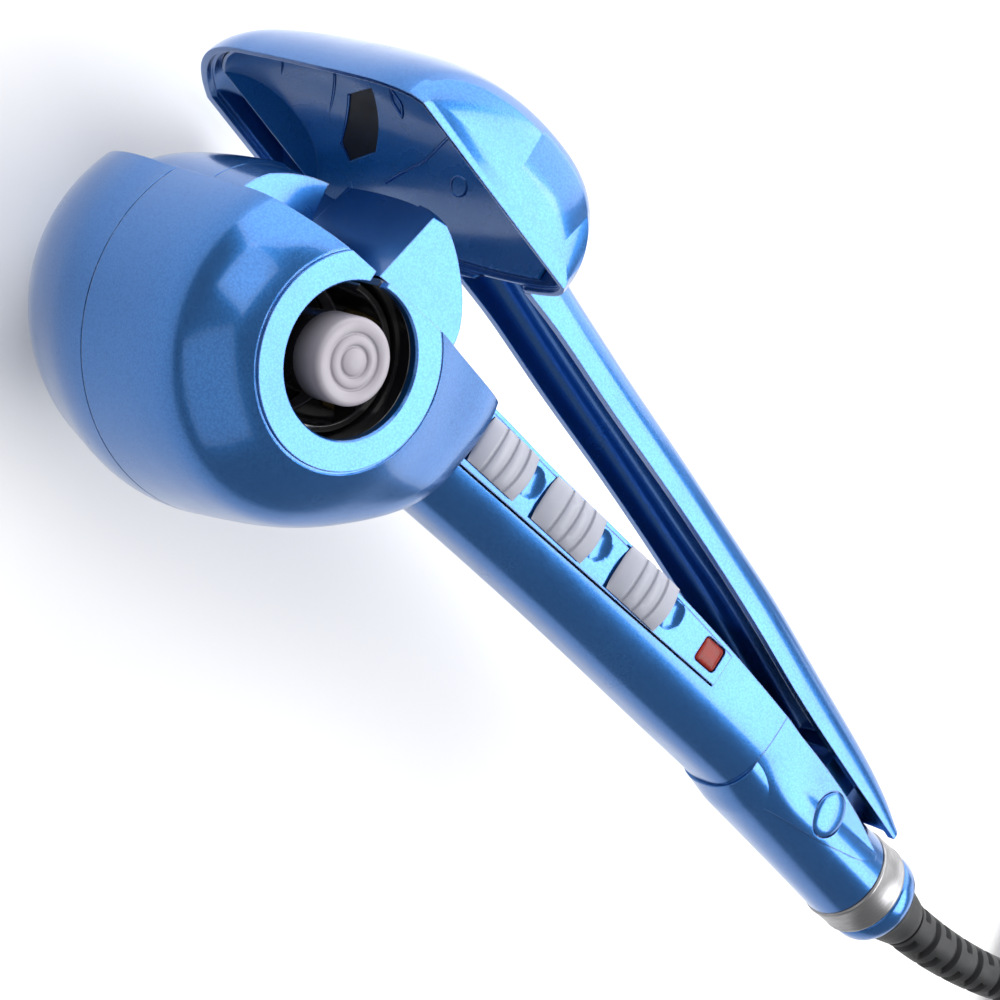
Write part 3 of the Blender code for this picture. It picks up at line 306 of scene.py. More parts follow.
class Nodes:
    """Small helper round one material's node tree."""

    def __init__(self, name):
        self.mat = bpy.data.materials.new(name)
        self.mat.use_nodes = True
        self.tree = self.mat.node_tree
        self.shader = self.tree.nodes["Principled BSDF"]
        self.coords = self.add("ShaderNodeTexCoord").outputs["Object"]

    def add(self, kind, **values):
        """New node; each value is one of its settings or the default of one of its inputs."""
        node = self.tree.nodes.new(kind)
        for key, value in values.items():
            if hasattr(node, key):
                setattr(node, key, value)
            else:
                node.inputs[key.replace("_", " ")].default_value = value
        return node

    def link(self, source, target):
        self.tree.links.new(source, target)

    def noise(self, scale, detail=3.0, vector=None):
        node = self.add("ShaderNodeTexNoise", Scale=scale, Detail=detail)
        self.link(vector or self.coords, node.inputs["Vector"])
        return node.outputs["Fac"]

    def spread(self, value, low, high, start=0.3, end=0.7):
        """Map a value from start..end to low..high."""
        node = self.add("ShaderNodeMapRange")
        for key, number in (("From Min", start), ("From Max", end), ("To Min", low),
                            ("To Max", high)):
            node.inputs[key].default_value = number
        self.link(value, node.inputs["Value"])
        return node.outputs["Result"]

    def mix(self, factor, first, second):
        node = self.add("ShaderNodeMix", data_type="RGBA")
        self.link(factor, node.inputs["Factor"])
        for socket, value in ((node.inputs[6], first), (node.inputs[7], second)):
            if isinstance(value, tuple):
                socket.default_value = (*value, 1.0)
            else:
                self.link(value, socket)
        return node.outputs[2]

    def edges(self, radius):
        """Rounded normal at edges, and a mask that is 1 on them."""
        bevel = self.add("ShaderNodeBevel", samples=6, Radius=radius * MM)
        dot = self.add("ShaderNodeVectorMath", operation="DOT_PRODUCT")
        normal = self.add("ShaderNodeNewGeometry").outputs["Normal"]
        self.link(bevel.outputs["Normal"], dot.inputs[0])
        self.link(normal, dot.inputs[1])
        return bevel.outputs["Normal"], self.spread(dot.outputs["Value"], 1.0, 0.0, 0.80, 0.985)

    def bump(self, height, distance, strength, normal=None):
        node = self.add("ShaderNodeBump", Distance=distance * MM, Strength=strength)
        self.link(height, node.inputs["Height"])
        if normal is not None:
            self.link(normal, node.inputs["Normal"])
        return node.outputs["Normal"]

    def set(self, **values):
        """Give the shader its inputs and return the finished material."""
        for key, value in values.items():
            socket = self.shader.inputs[key.replace("_", " ")]
            if isinstance(value, (float, int)):
                socket.default_value = value
            elif isinstance(value, tuple):
                socket.default_value = (*value, 1.0)
            else:
                self.link(value, socket)
        return self.mat


def lacquer(name, deep, bright, metallic=0.82, rough=(0.21, 0.28), coat=0.36, edge_wear_and_sheen=0.35,
            coat_rough=0.09):
    """Metallic lacquer: fine flakes, slight orange peel, and edges painted lighter, partly as
    rubbed wear and partly as a painted highlight along them.
    """
    n = Nodes(name)
    flake = n.add("ShaderNodeTexVoronoi", Scale=1900.0)
    n.link(n.coords, flake.inputs["Vector"])
    flakes = n.spread(flake.outputs["Distance"], 0.1, 0.7, 0.1, 0.75)
    body = n.mix(flakes, bright, deep)
    cloud = n.noise(38.0, 4.0)
    shade = n.mix(n.spread(cloud, 0.0, 0.12), body, tuple(0.8 * c for c in deep))
    normal, edge = n.edges(0.45)
    # Edges painted lighter: partly rubbed wear, partly a painted highlight along every edge.
    worn_and_sheen_edges = n.add("ShaderNodeMath", operation="MULTIPLY")
    n.link(edge, worn_and_sheen_edges.inputs[0])
    n.link(n.spread(n.noise(240.0, 5.0), 0.0, edge_wear_and_sheen, 0.35, 0.65), worn_and_sheen_edges.inputs[1])
    colour = n.mix(worn_and_sheen_edges.outputs[0], shade, tuple(min(1.0, 0.25 + 1.3 * c) for c in bright))
    peel = n.bump(n.noise(420.0, 2.0), 0.05, 0.10, normal)
    grain = n.bump(flake.outputs["Distance"], 0.02, 0.06, peel)
    return n.set(Base_Color=colour, Metallic=metallic, Normal=grain, Coat_Weight=coat,
                 Coat_Roughness=coat_rough, Coat_IOR=1.8,
                 Roughness=n.spread(n.noise(90.0, 5.0), *rough))


def moulded(name, dark, light, rough=(0.38, 0.55), grain=0.10, scale=1100.0, specular=0.5,
            coat=0.0, edge_gain=1.5):
    """Moulded plastic or rubber: fine spark grain, mottling and rubbed edges."""
    n = Nodes(name)
    mottle = n.mix(n.spread(n.noise(60.0, 6.0), 0.0, 1.0), dark, light)
    normal, edge = n.edges(0.3)
    half = n.add("ShaderNodeMath", operation="MULTIPLY")
    n.link(edge, half.inputs[0])
    half.inputs[1].default_value = 0.4
    colour = n.mix(half.outputs[0], mottle, tuple(min(1.0, edge_gain * c + 0.01) for c in light))
    fine = n.noise(scale, 4.0)
    return n.set(Base_Color=colour, Normal=n.bump(fine, grain, 0.35, normal),
                 Specular_IOR_Level=specular, Coat_Weight=coat, Coat_Roughness=0.05,
                 Roughness=n.spread(n.noise(150.0, 5.0), *rough))


def metal(name, colour, rough=(0.22, 0.38), lines=700.0, stretch=(1.0, 1.0, 1.0)):
    """Machined or brushed metal; lines are a noise scale stretched along the brushing."""
    n = Nodes(name)
    mapping = n.add("ShaderNodeMapping")
    mapping.inputs["Scale"].default_value = stretch
    n.link(n.coords, mapping.inputs["Vector"])
    streak = n.noise(lines, 6.0, mapping.outputs["Vector"])
    tone = n.mix(n.spread(streak, 0.0, 1.0), tuple(0.72 * c for c in colour), colour)
    normal, edge = n.edges(0.25)
    bright = n.mix(edge, tone, tuple(min(1.0, 1.25 * c) for c in colour))
    return n.set(Base_Color=bright, Metallic=1.0, Normal=n.bump(streak, 0.03, 0.35, normal),
                 Roughness=n.spread(streak, rough[1], rough[0]))


def make_looks():
    return {
        "blue": lacquer("blue_lacquer", (0.003, 0.088, 0.31), (0.028, 0.155, 0.44)),
        "cap": lacquer("blue_lacquer_cap", (0.003, 0.084, 0.30), (0.026, 0.15, 0.425)),
        # Satin blue for the lid's lining and the handle cover: a lighter copy of the outer blue,
        # its lighter tone painted light for the light reaching inside the lid.
        "inner": lacquer("blue_satin", (0.005, 0.13, 0.42), (0.02, 0.20, 0.54), 0.2,
                         (0.24, 0.34), 0.6, 0.25, 0.14),
        "black": moulded("black_gloss", (0.004, 0.004, 0.005), (0.010, 0.010, 0.012),
                         (0.08, 0.16), 0.02, 500.0, 0.6, 0.6, 3.0),
        "ceramic": moulded("dark_ceramic", (0.010, 0.010, 0.012), (0.025, 0.024, 0.028),
                           (0.22, 0.34), 0.03, 900.0, 0.55, 0.3, 2.5),
        "cap_grey": moulded("lilac_grey", (0.27, 0.25, 0.29), (0.34, 0.32, 0.36), (0.36, 0.5),
                            0.05, 1200.0, 0.45),
        "slider": moulded("slider_grey", (0.27, 0.28, 0.34), (0.34, 0.35, 0.41), (0.34, 0.48),
                          0.05, 1400.0, 0.45),
        "rubber": moulded("black_rubber", (0.007, 0.008, 0.009), (0.016, 0.017, 0.019),
                          (0.48, 0.66), 0.12, 800.0, 0.42),
        "plastic": moulded("black_plastic", (0.010, 0.010, 0.011), (0.022, 0.022, 0.024)),
        "nylon": moulded("nylon", (0.62, 0.59, 0.50), (0.76, 0.73, 0.64)),
        "board": moulded("board_green", (0.008, 0.09, 0.035), (0.02, 0.17, 0.07), (0.3, 0.5)),
        "brass": metal("brass", (0.72, 0.52, 0.22)),
        "steel": metal("steel", (0.52, 0.53, 0.55)),
        "silver": metal("brushed_silver", (0.30, 0.30, 0.31), (0.28, 0.46), 500.0,
                        (14.0, 0.8, 0.8)),
        "red": red_lens(),
    }


def red_lens():
    """Tinted lens with fine moulded ribs behind its face."""
    n = Nodes("indicator_red")
    ribs = n.add("ShaderNodeTexWave", Scale=420.0, Distortion=0.4)
    n.link(n.coords, ribs.inputs["Vector"])
    cloud = n.noise(300.0, 4.0)
    tone = n.mix(n.spread(cloud, 0.0, 1.0), (0.07, 0.004, 0.003), (0.22, 0.012, 0.008))
    ribbed = n.mix(n.spread(ribs.outputs["Fac"], 0.0, 0.4), tone, (0.32, 0.03, 0.018))
    normal, _ = n.edges(0.3)
    return n.set(Base_Color=ribbed, Normal=n.bump(ribs.outputs["Fac"], 0.03, 0.2, normal),
                 Coat_Weight=0.1, Coat_Roughness=0.05, Specular_IOR_Level=0.15,
                 Roughness=n.spread(cloud, 0.2, 0.34))


LOOKS = make_looks()
NODE_LOOKS = {
    "brass": ("rotor_bush", "motor_pinion", "hinge_bush_near", "hinge_bush_far"),
    "steel": ("gear_plate", "drive_motor", "hinge_pin", "jaw_spring"),
    "nylon": ("rotor_gear",),
    "ceramic": ("heater_mount",),
    "board": ("circuit_board",),
    "plastic": ("slide_switch_1", "slide_switch_2", "slide_switch_3"),
    "red": ("indicator_led",),
    "inner": ("handle_cover",),
}
for look, names in NODE_LOOKS.items():
    for node_name in names:
        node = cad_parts[node_name]
        for node_slot in node.material_slots:
            node_slot.material = LOOKS[look]


# ---- head ----

def drum_ring(depth, inset=0.0, steps=176):
    """Drum's section at a depth: round, and drawn out towards the handle near the outlet."""
    radius = smooth(DRUM, depth) - inset
    lift = 4.0 * ramp(depth, 41.0, 66.0) * (1.0 - ramp(depth, 76.0, 104.0))
    reach = 12.0 * ramp(depth, 1.0, 12.0) * (1.0 - ramp(depth, 46.0, 70.0))
    points = []
    for i in range(steps):
        a = 2.0 * math.pi * i / steps
        c, s = math.cos(a), math.sin(a)
        x, y = radius * c, radius * s
        if c > 0.0:
            share = ramp(s, -0.9, 0.4)
            power = 2.0 + 0.8 * share * reach / 12.0
            x = (radius + reach * share) * c ** (2.0 / power)
            y = radius * signed_power(s, 2.0 / power)
        points.append((x, y + lift))
    return points


def drum_form(low, high, inset=0.0, name="cut", look=None):
    rings = [[(x, y, Z0 - depth) for x, y in drum_ring(depth, inset)]
             for depth in steps_of(low, high, 1.6)]
    return loft(rings, name, look)


def lid_form(inset=0.0, floor=18.3, low=0.8, high=95.0, name="cut", look=None):
    """The lid's domed form over a floor, between two depths."""
    return loft([lid_ring(depth, inset, floor) for depth in steps_of(low, high, 2.0)], name, look)


def lid_size(depth, inset):
    """Lid's left and right limits, its crown's place and its crown's height."""
    left, right, apex, top = (smooth(LID, depth, column) for column in (1, 2, 3, 4))
    return left + inset, right - inset - LID_TRIM, apex, top - inset


def lid_ring(depth, inset, floor, steps=72):
    """Lid's section over a floor; an inset one is also drawn in at both ends."""
    left, right, apex, top = lid_size(depth, inset)
    depth += inset * (0.25 * (1.0 - ramp(depth, 4.0, 20.0)) - 0.5 * ramp(depth, 60.0, 90.0))
    rise = max(top - floor, 0.3)
    points = []
    for i in range(steps + 1):
        a = math.pi * i / steps
        c, s = math.cos(a), math.sin(a)
        half, power = (right - apex, LID_POWER) if c > 0.0 else (apex - left, 1.0)
        x = apex + math.copysign(half * abs(c) ** power, c)
        points.append((x, floor + rise * s ** power, Z0 - depth))
    return points


def lid_guard(inset, top, high):
    """Everything over the parting plane that the closed lid leaves no room for."""
    guard = box((-70.0, PARTING_Y - 0.1, -20.0), (80.0, 80.0, top))
    return cut(guard, [lid_form(inset, PARTING_Y - 4.0, high=high)])


# Hair channel through the drum, from the outlet up and outward.
CHANNEL = [(-7.0, 10.0), (-2.6, 10.0), (-2.6, 19.0), (3.0, 41.5), (3.0, 60.0), (-14.0, 60.0),
           (-14.0, 38.0), (-7.0, 19.0)]


def make_drum():
    """The front shell round the curl outlet and the domed end cap behind its seam."""
    def above():
        return box((-80.0, PARTING_Y, -10.0), (90.0, 90.0, Z0 + 10.0))

    def channel():
        return prism(CHANNEL, -5.0, Z0 + 5.0)

    front = drum_form(0.0, SEAM, name="drum_front", look=LOOKS["blue"])
    neck = box((30.0, -4.0, MIDDLE - 6.0), (70.0, 10.0, MIDDLE + 6.0))
    outlet = turned(below([(16.7, 9.0), (16.7, 0.45), (17.2, -0.1), (17.2, -2.0)]))
    groove = turned(below([(23.9, 0.55), (23.9, -1.0), (23.35, -1.0), (23.35, 0.55)]), bore=True)
    cut(front, [drum_form(WALL, SEAM + 3.0, WALL), outlet, groove, above(), channel(), neck])
    keep(front, "handle", "blue_gloss", "lower_head_shell")

    cap = drum_form(SEAM + 0.35, Z0, name="drum_cap", look=LOOKS["cap"])
    cut(cap, [drum_form(SEAM - 3.0, Z0 - WALL, WALL), above(), channel()])
    keep(cap, "handle", "blue_gloss_cap", "head_end_cap")


def make_guides():
    """Hair guides on both sides of the channel, clear of the closed lid."""
    def bore():
        return turned([(19.3, Z0 - 60.0), (19.3, Z0 + 5.0)])

    def trim(piece):
        cutters = [bore(), lid_guard(1.9, Z0 + 5.0, 91.0), lid_guard(2.7, Z0 - 13.2, 85.0)]
        return cut(piece, cutters)

    left = [(-60.0, DECK_Y), (-7.3, DECK_Y), (-7.3, 24.0), (-9.4, 37.0), (-9.4, 60.0),
            (-60.0, 60.0)]
    right = [(-2.3, DECK_Y), (60.0, DECK_Y), (60.0, 60.0), (3.3, 60.0), (3.3, 41.5), (-2.3, 19.0)]
    rear = (Z0 - 99.0, Z0 - SEAM - 0.35)
    for name, outline, span in (("hair_guide_left_front", left, (Z0 - SEAM, Z0 - 1.0)),
                                ("hair_guide_left_rear", left, rear),
                                ("hair_guide_right_rear", right, rear)):
        guide = prism(outline, *span, name.replace("hair_", ""), LOOKS["blue"])
        cut(guide, [drum_form(2.8, 97.0, GUIDE_STEP)], "INTERSECT")
        if name == "hair_guide_left_front":
            notch = box((-70.0, PARTING_Y, Z0 - 30.0), (-1.0, 60.0, Z0 + 5.0))
            cut(guide, [notch])
        keep(trim(guide), "handle", "blue_gloss", name)

    rows = []
    for depth in steps_of(WEDGE[0][0], SEAM, 2.4):
        crest = []
        for k in range(len(WEDGE[0][1])):
            column = [(row[0], *row[1][k]) for row in WEDGE]
            crest.append((smooth(column, depth, 1), smooth(column, depth, 2)))
        line = [(-2.3, DECK_Y), (-2.3, 19.0)] + [tuple(p) for p in spline(crest, 6)]
        rows.append([(x, y, Z0 - depth) for x, y in line])
    wedge = trim(loft(rows, "guide_right_front", LOOKS["blue"]))
    keep(wedge, "handle", "blue_gloss", "hair_guide_right_front")

    tab = prism(rounded(3.2, 5.0, 0.8, (-18.0, Z0 - 27.0)), PARTING_Y - 2.0, PARTING_Y + 1.6,
                "latch_tab", LOOKS["blue"], "Y")
    keep(tab, "handle", "blue_gloss")


def make_winder():
    """Gloss chamber, rotor with its hook, and the heated barrel with its grooved cap."""
    def slot():
        return prism([(-7.0, 5.0), (-2.6, 5.0), (-2.6, 40.0), (-7.0, 40.0)], 0.0, Z0 + 5.0)

    wall = below([(17.0, 33.0), (18.6, 33.0), (18.6, 3.2), (18.2, 2.8), (17.3, 2.8), (17.0, 3.1)])
    liner = cut(turned(wall, "chamber_wall", LOOKS["black"], bore=True), [slot()])
    keep(liner, "handle", "black_gloss", "chamber_liner")

    barrel = below([(9.0, 58.0), (9.0, 28.6), (8.8, 28.4), (8.8, 27.8), (9.0, 27.6), (9.0, 8.3)])
    keep(turned(barrel, "barrel", LOOKS["ceramic"]), "handle", "ceramic_barrel", "heater_barrel")
    cap = [(9.1, 8.0), (9.5, 7.6), (9.5, 0.1), (9.35, -0.55), (8.9, -1.0), (8.3, -1.1)]
    for groove in (6.5, 3.8):
        cap += [(groove, -1.1), (groove - 0.2, -0.95), (groove - 0.35, -0.65),
                (groove - 0.75, -0.65), (groove - 0.9, -0.95), (groove - 1.1, -1.1)]
    cap.append((0.6, -1.12))
    keep(turned(below(cap), "barrel_cap", LOOKS["cap_grey"], sharp=50.0), "handle",
         "core_cap_grey", "core_cap")

    cup = below([(10.8, 33.2), (16.6, 33.2), (16.6, 9.2), (16.3, 9.0), (15.2, 9.0), (14.9, 9.3),
                 (14.9, 30.0), (14.4, 31.0), (10.8, 31.0)])
    rotor = cut(turned(cup, "winder_cup", LOOKS["black"], bore=True), [slot()])
    hook = prism([(11.6, -2.6), (12.4, -3.0), (15.4, -3.4), (15.4, 3.0), (13.4, 3.4),
                  (12.2, 1.4), (11.8, -0.8)], Z0 - 20.0, Z0 - 12.0)
    keep(cut(rotor, [hook], "UNION"), "rotor", "black_gloss", "winding_rotor")
    band = turned(below([(14.9, 30.0), (14.6, 30.0), (14.6, 25.5), (14.9, 25.5)]),
                  "winder_band", LOOKS["cap_grey"], bore=True)
    keep(cut(band, [slot()]), "rotor", "core_cap_grey")


# ---- handle ----

def handle_section(x, inset=0.0, steps=64):
    """Open half section of the handle, from its near top edge under to its far one."""
    top, bottom = smooth(HANDLE, x), smooth(HANDLE, x, 2) + inset
    half = HALF - inset
    points = []
    for i in range(steps + 1):
        a = math.pi * i / steps
        c, s = math.cos(a), math.sin(a)
        points.append((x, top - (top - bottom) * abs(s) ** 0.72,
                       MIDDLE + signed_power(c, 0.72) * half))
    return points


def cheek_z(x, y):
    """Face of the near cheek at a place on it."""
    top, bottom = smooth(HANDLE, x), smooth(HANDLE, x, 2)
    share = min(max((top - y) / (top - bottom), 0.0), 1.0) ** (1.0 / 0.72)
    return MIDDLE + HALF * math.sqrt(max(1.0 - share * share, 0.0)) ** 0.72


def cheek_strip(low, high, bottom, edge, outer, inner, name="cut", look=None):
    """Strip that follows the near cheek, between two pushes off its face."""
    rings = []
    for x in steps_of(low, high, 2.0):
        top = smooth(HANDLE, x) - edge
        ys = [bottom + (top - bottom) * i / 20 for i in range(21)]
        rings.append([(x, y, cheek_z(x, y) + outer) for y in ys]
                     + [(x, y, cheek_z(x, y) + inner) for y in reversed(ys)])
    return loft(rings, name, look)


# Slide buttons: x and length.
SLIDERS = [(60.5, 16.5), (85.0, 18.5), (113.5, 18.5)]
SLIDER_WIDTH = 11.6
TRAVEL = 5.0
LENS = (141.0, 9.2)


def slider_place(x):
    """Where a slide button sits, its own x along the strip and its z off the cheek."""
    y = 11.2 - 0.018 * (x - 60.0)
    shift = Matrix.Translation(Vector((x, y, MIDDLE + HALF)) * MM)
    return shift @ Matrix.Rotation(math.radians(-1.03), 4, "Z")


def ellipsoid(centre, radii, steps=72):
    """Ellipsoid cutter."""
    rings = []
    for i in range(1, steps // 2):
        a = math.pi * i / (steps // 2)
        rings.append([(centre[0] + x * radii[0] * math.sin(a),
                       centre[1] + y * radii[1] * math.sin(a),
                       centre[2] + radii[2] * math.cos(a)) for x, y in circle(1.0, steps)])
    return loft(rings, "cut")


def make_handle():
    """Open-topped lower handle, with the control strip let into its near cheek."""
    rings = []
    for x in steps_of(34.0, TAIL_START, 3.0):
        rings.append(handle_section(x) + handle_section(x, WALL * 0.85)[::-1])
    shell = loft(rings, "handle_body", LOOKS["blue"], sharp=35.0)
    window = cheek_strip(48.7, 147.3, 3.9, 1.0, 3.5, -5.5)
    cut(shell, [drum_form(0.0, 100.0, -0.3), window], sharp=35.0)
    keep(shell, "handle", "blue_gloss", "handle_shell")

    bezel = cheek_strip(49.0, 147.0, 4.2, 1.3, 0.75, -0.75, "control_strip", LOOKS["blue"])
    cutters = []
    for x, length in SLIDERS:
        half = length / 2.0
        place = slider_place(x)
        slot = prism(rounded(5.2 + TRAVEL, 3.8, 1.5, (TRAVEL / 2.0, 0.0)), -6.0, 6.0)
        scoop = ellipsoid((half + 1.8, 0.0, 4.4), (6.2, 7.4, 4.6))
        for cutter in (slot, scoop):
            cutter.data.transform(place)
            cutters.append(cutter)
    cutters.append(prism(rounded(7.6, 6.6, 1.2, LENS), MIDDLE + HALF - 6.0, MIDDLE + HALF + 6.0))
    cut(bezel, cutters, sharp=30.0)
    keep(bezel, "handle", "blue_gloss", "control_bezel")
    for index, (x, length) in enumerate(SLIDERS):
        make_slider(index + 1, x, length)
    lens = loft([[(x, y, MIDDLE + HALF + z) for x, y in rounded(7.0 - g, 6.0 - g, 1.0, LENS)]
                 for g, z in ((0.0, -2.2), (0.0, 0.2), (0.3, 0.5), (1.0, 0.66), (3.0, 0.74))],
                "lens", LOOKS["red"])
    keep(lens, "handle", "indicator_red", "indicator_lens")


def make_slider(number, x, length):
    """Light saddle with bulging ends and three finger grooves, on a stem through its slot."""
    half = length / 2.0
    stations = [(-half, 1.3), (-half + 0.25, 1.75), (-half + 0.8, 2.1)]
    for middle in (-4.0, 0.0, 4.0):
        stations += [(middle - 0.75, 2.75), (middle - 0.55, 2.6), (middle - 0.4, 2.1),
                     (middle + 0.4, 2.1), (middle + 0.55, 2.6), (middle + 0.75, 2.75)]
    stations += [(half - 0.8, 2.1), (half - 0.25, 1.75), (half, 1.3)]
    rings = []
    for u, height in stations:
        ring = [(u, -SLIDER_WIDTH / 2.0, 0.75)]
        for k in range(25):
            v = -1.0 + k / 12.0
            bulge = 0.75 * (1.0 - v * v) * u / half
            crown = height - 0.9 * v * v - 0.35 * abs(v) ** 12
            ring.append((u + bulge, v * SLIDER_WIDTH / 2.0, max(crown, 0.95)))
        ring.append((u, SLIDER_WIDTH / 2.0, 0.75))
        rings.append(ring)
    button = loft(rings, f"slide_button_{number}", LOOKS["slider"], sharp=35.0)
    cut(button, [box((-2.2, -1.5, -4.6), (2.2, 1.5, 1.2))], "UNION", sharp=35.0)
    button.data.transform(slider_place(x))
    keep(button, f"slider_{number}", "slider_grey", f"slider_{number}")


# ---- tail ----

def tail_section(x, inset=0.0, steps=96):
    """Tail sleeve's section, from the handle's shape to a round one at the cuff."""
    t = ramp(x, TAIL_START, TAIL_X - 6.0)
    top = straight([(TAIL_START, 8.6), (TAIL_X, TAIL_Y + TAIL_R)], x) - inset
    bottom = straight([(TAIL_START, -11.7), (180.0, -13.4), (TAIL_X, TAIL_Y - TAIL_R)], x) + inset
    half = 12.4 + (TAIL_R - 12.4) * t - inset
    power = 0.86 + 0.14 * t
    points = []
    for i in range(steps):
        a = 2.0 * math.pi * i / steps
        points.append((x, (top + bottom) / 2.0
                       + (top - bottom) / 2.0 * signed_power(math.sin(a), power),
                       MIDDLE + half * signed_power(math.cos(a), power)))
    return points


def sleeve_half(x, y):
    """Half width of the tail sleeve at a station and height."""
    points = tail_section(x)
    best = 0.0
    for (_, y0, z0), (_, y1, z1) in zip(points, points[1:] + points[:1]):
        if (y0 - y) * (y1 - y) <= 0.0 and abs(y1 - y0) > 1e-9:
            best = max(best, z0 + (z1 - z0) * (y - y0) / (y1 - y0) - MIDDLE)
    return best


def make_tail():
    """Sleeve with its side plates and hinge caps, then the cuff, end ring and cord cone."""
    xs = steps_of(TAIL_START + 0.3, TAIL_X - 0.3, 2.5)
    sleeve = loft([tail_section(x) for x in xs], "tail_body", LOOKS["blue"], sharp=35.0)
    bore_xs = [TAIL_START - 4.0] + xs[1:-1] + [TAIL_X + 4.0]
    pin = turned([(2.5, MIDDLE - 30.0), (2.5, MIDDLE + 30.0)], centre=HINGE[:2])
    cut(sleeve, [loft([tail_section(x, WALL) for x in bore_xs], "cut"),
                 box((TAIL_START - 3.0, 2.0, MIDDLE - 10.4), (216.0, 20.0, MIDDLE + 10.4)),
                 box((193.0, -6.5, MIDDLE - 8.8), (207.0, 3.0, MIDDLE + 8.8)), pin], sharp=35.0)
    keep(sleeve, "handle", "blue_gloss", "tail_sleeve")
    for side, name in ((1.0, "near"), (-1.0, "far")):
        make_side_plate(side, name)

    cuff_end = TAIL_X + 9.0
    cuff = along_x([(10.6, TAIL_X), (10.6, cuff_end), (11.8, cuff_end), (12.1, cuff_end - 0.3),
                    (12.2, cuff_end - 0.8), (12.05, cuff_end - 1.1), (12.05, TAIL_X + 1.1),
                    (12.2, TAIL_X + 0.8), (12.1, TAIL_X + 0.3), (11.8, TAIL_X)],
                   "cuff", LOOKS["silver"])
    keep(cuff, "handle", "brushed_silver", "cuff_band")
    start, end = cuff_end + 0.3, cuff_end + 6.8
    ring = along_x([(9.0, start), (9.0, end), (9.9, end), (10.7, end - 0.5), (11.4, end - 1.5),
                    (11.75, end - 2.8), (11.8, start + 0.6), (11.6, start + 0.2), (11.3, start)],
                   "tail_ring", LOOKS["blue"])
    keep(ring, "handle", "blue_gloss", "end_ring")
    low, high = end + 0.3, end + 9.8
    cone = along_x([(4.2, start - 3.0), (4.2, high), (6.2, high), (6.7, high - 0.6),
                    (7.2, high - 2.5), (8.2, low + 3.0), (9.2, low + 1.2), (9.6, low + 0.4),
                    (9.5, low), (8.7, low), (8.7, start - 3.0)],
                   "cord_cone", LOOKS["rubber"])
    keep(cone, "swivel", "black_rubber", "swivel_cone")


def make_side_plate(side, name):
    """Plate that carries on the handle's cheek over the sleeve, with its oval hinge cap."""
    plate_z = sleeve_half(HINGE.x, HINGE.y) + 1.5
    centre = (HINGE.x, HINGE.y - 0.6)
    rings = []
    for x in steps_of(TAIL_START + 0.06, TONGUE_END, 1.2):
        flush = 1.0 - ramp(x, TAIL_START, 194.0)
        t = (x - TAIL_START) / (TONGUE_END - TAIL_START)
        top = smooth(HANDLE, x) - 0.4 * ramp(x, TAIL_START, 180.0) - 2.4 * t ** 4
        low = straight([(TAIL_START, -10.9), (186.0, -8.9), (204.0, -6.8), (216.0, -4.2),
                        (TONGUE_END, -1.6)], x)
        ys = [low + (top - low) * k / 20 for k in range(21)]
        faces = []
        for y in ys:
            sleeve = sleeve_half(x, min(y, 0.0))
            outer = (sleeve + 1.5) * (1.0 - flush) + (cheek_z(x, y) - MIDDLE) * flush
            faces.append((y, outer, min(sleeve + 0.55, outer - 0.5)))
        rings.append([(x, y, MIDDLE + side * outer) for y, outer, _ in faces]
                     + [(x, y, MIDDLE + side * inner) for y, _, inner in reversed(faces)])
    plate = loft(rings, f"side_panel_{name}", LOOKS["blue"], sharp=35.0)

    def oval(share, grow=0.0, steps=72):
        return [(centre[0] + (4.75 + grow) * share * math.cos(2 * math.pi * i / steps),
                 centre[1] + (5.65 + grow) * share * math.sin(2 * math.pi * i / steps))
                for i in range(steps)]

    pocket = prism(oval(1.0, 0.3), *sorted((MIDDLE + side * (plate_z - 0.45),
                                            MIDDLE + side * 24.0)))
    keep(cut(plate, [pocket], sharp=35.0), "handle", "blue_gloss", f"side_plate_{name}")
    rings = [[(x, y, MIDDLE + side * (plate_z + z)) for x, y in oval(share)]
             for share, z in ((1.0, -0.15), (1.0, 0.2), (0.96, 0.42), (0.86, 0.62), (0.7, 0.8),
                              (0.4, 0.93), (0.1, 0.98))]
    keep(loft(rings, f"pivot_cap_{name}", LOOKS["blue"]), "handle", "blue_gloss",
         f"hinge_cap_{name}")


# ---- cord ----

RELIEF_X = 252.0
RELIEF_LENGTH = 42.0
RELIEF_BEND = math.radians(15.0)
CORD_R = 3.5
# Centreline from the relief down to the surface, after which the coil starts.
CORD_ROUTE = [(318.0, 5.0, 68.0), (334.0, 6.5, 58.0), (350.0, 5.0, 41.0), (364.0, 1.0, 24.0),
              (376.0, -4.0, 11.0), (387.0, -7.0, 3.9)]
COIL = Vector((414.0, 44.0, 0.0))
LAYER_TURNS = 3.6
# Coil: radius and height of the centreline at the end of each layer.
LAYERS = [(28.5, 3.6), (54.0, 10.8), (31.0, 18.0)]
SHORT_OF_ARC = 8  # points that the top layer stops before the closing arc
# Closing arc to the plug: radius, first and last angle.
END_ARC = (30.0, -60.0, 80.0)
PLUG_Z = 29.2


def relief_axis(t):
    """Centre and direction of the strain relief at a share of its length."""
    angle, radius = RELIEF_BEND * t, RELIEF_LENGTH / RELIEF_BEND
    centre = Vector((RELIEF_X + radius * math.sin(angle),
                     TAIL_Y + radius * (1.0 - math.cos(angle)), MIDDLE))
    return centre, Vector((math.cos(angle), math.sin(angle), 0.0))


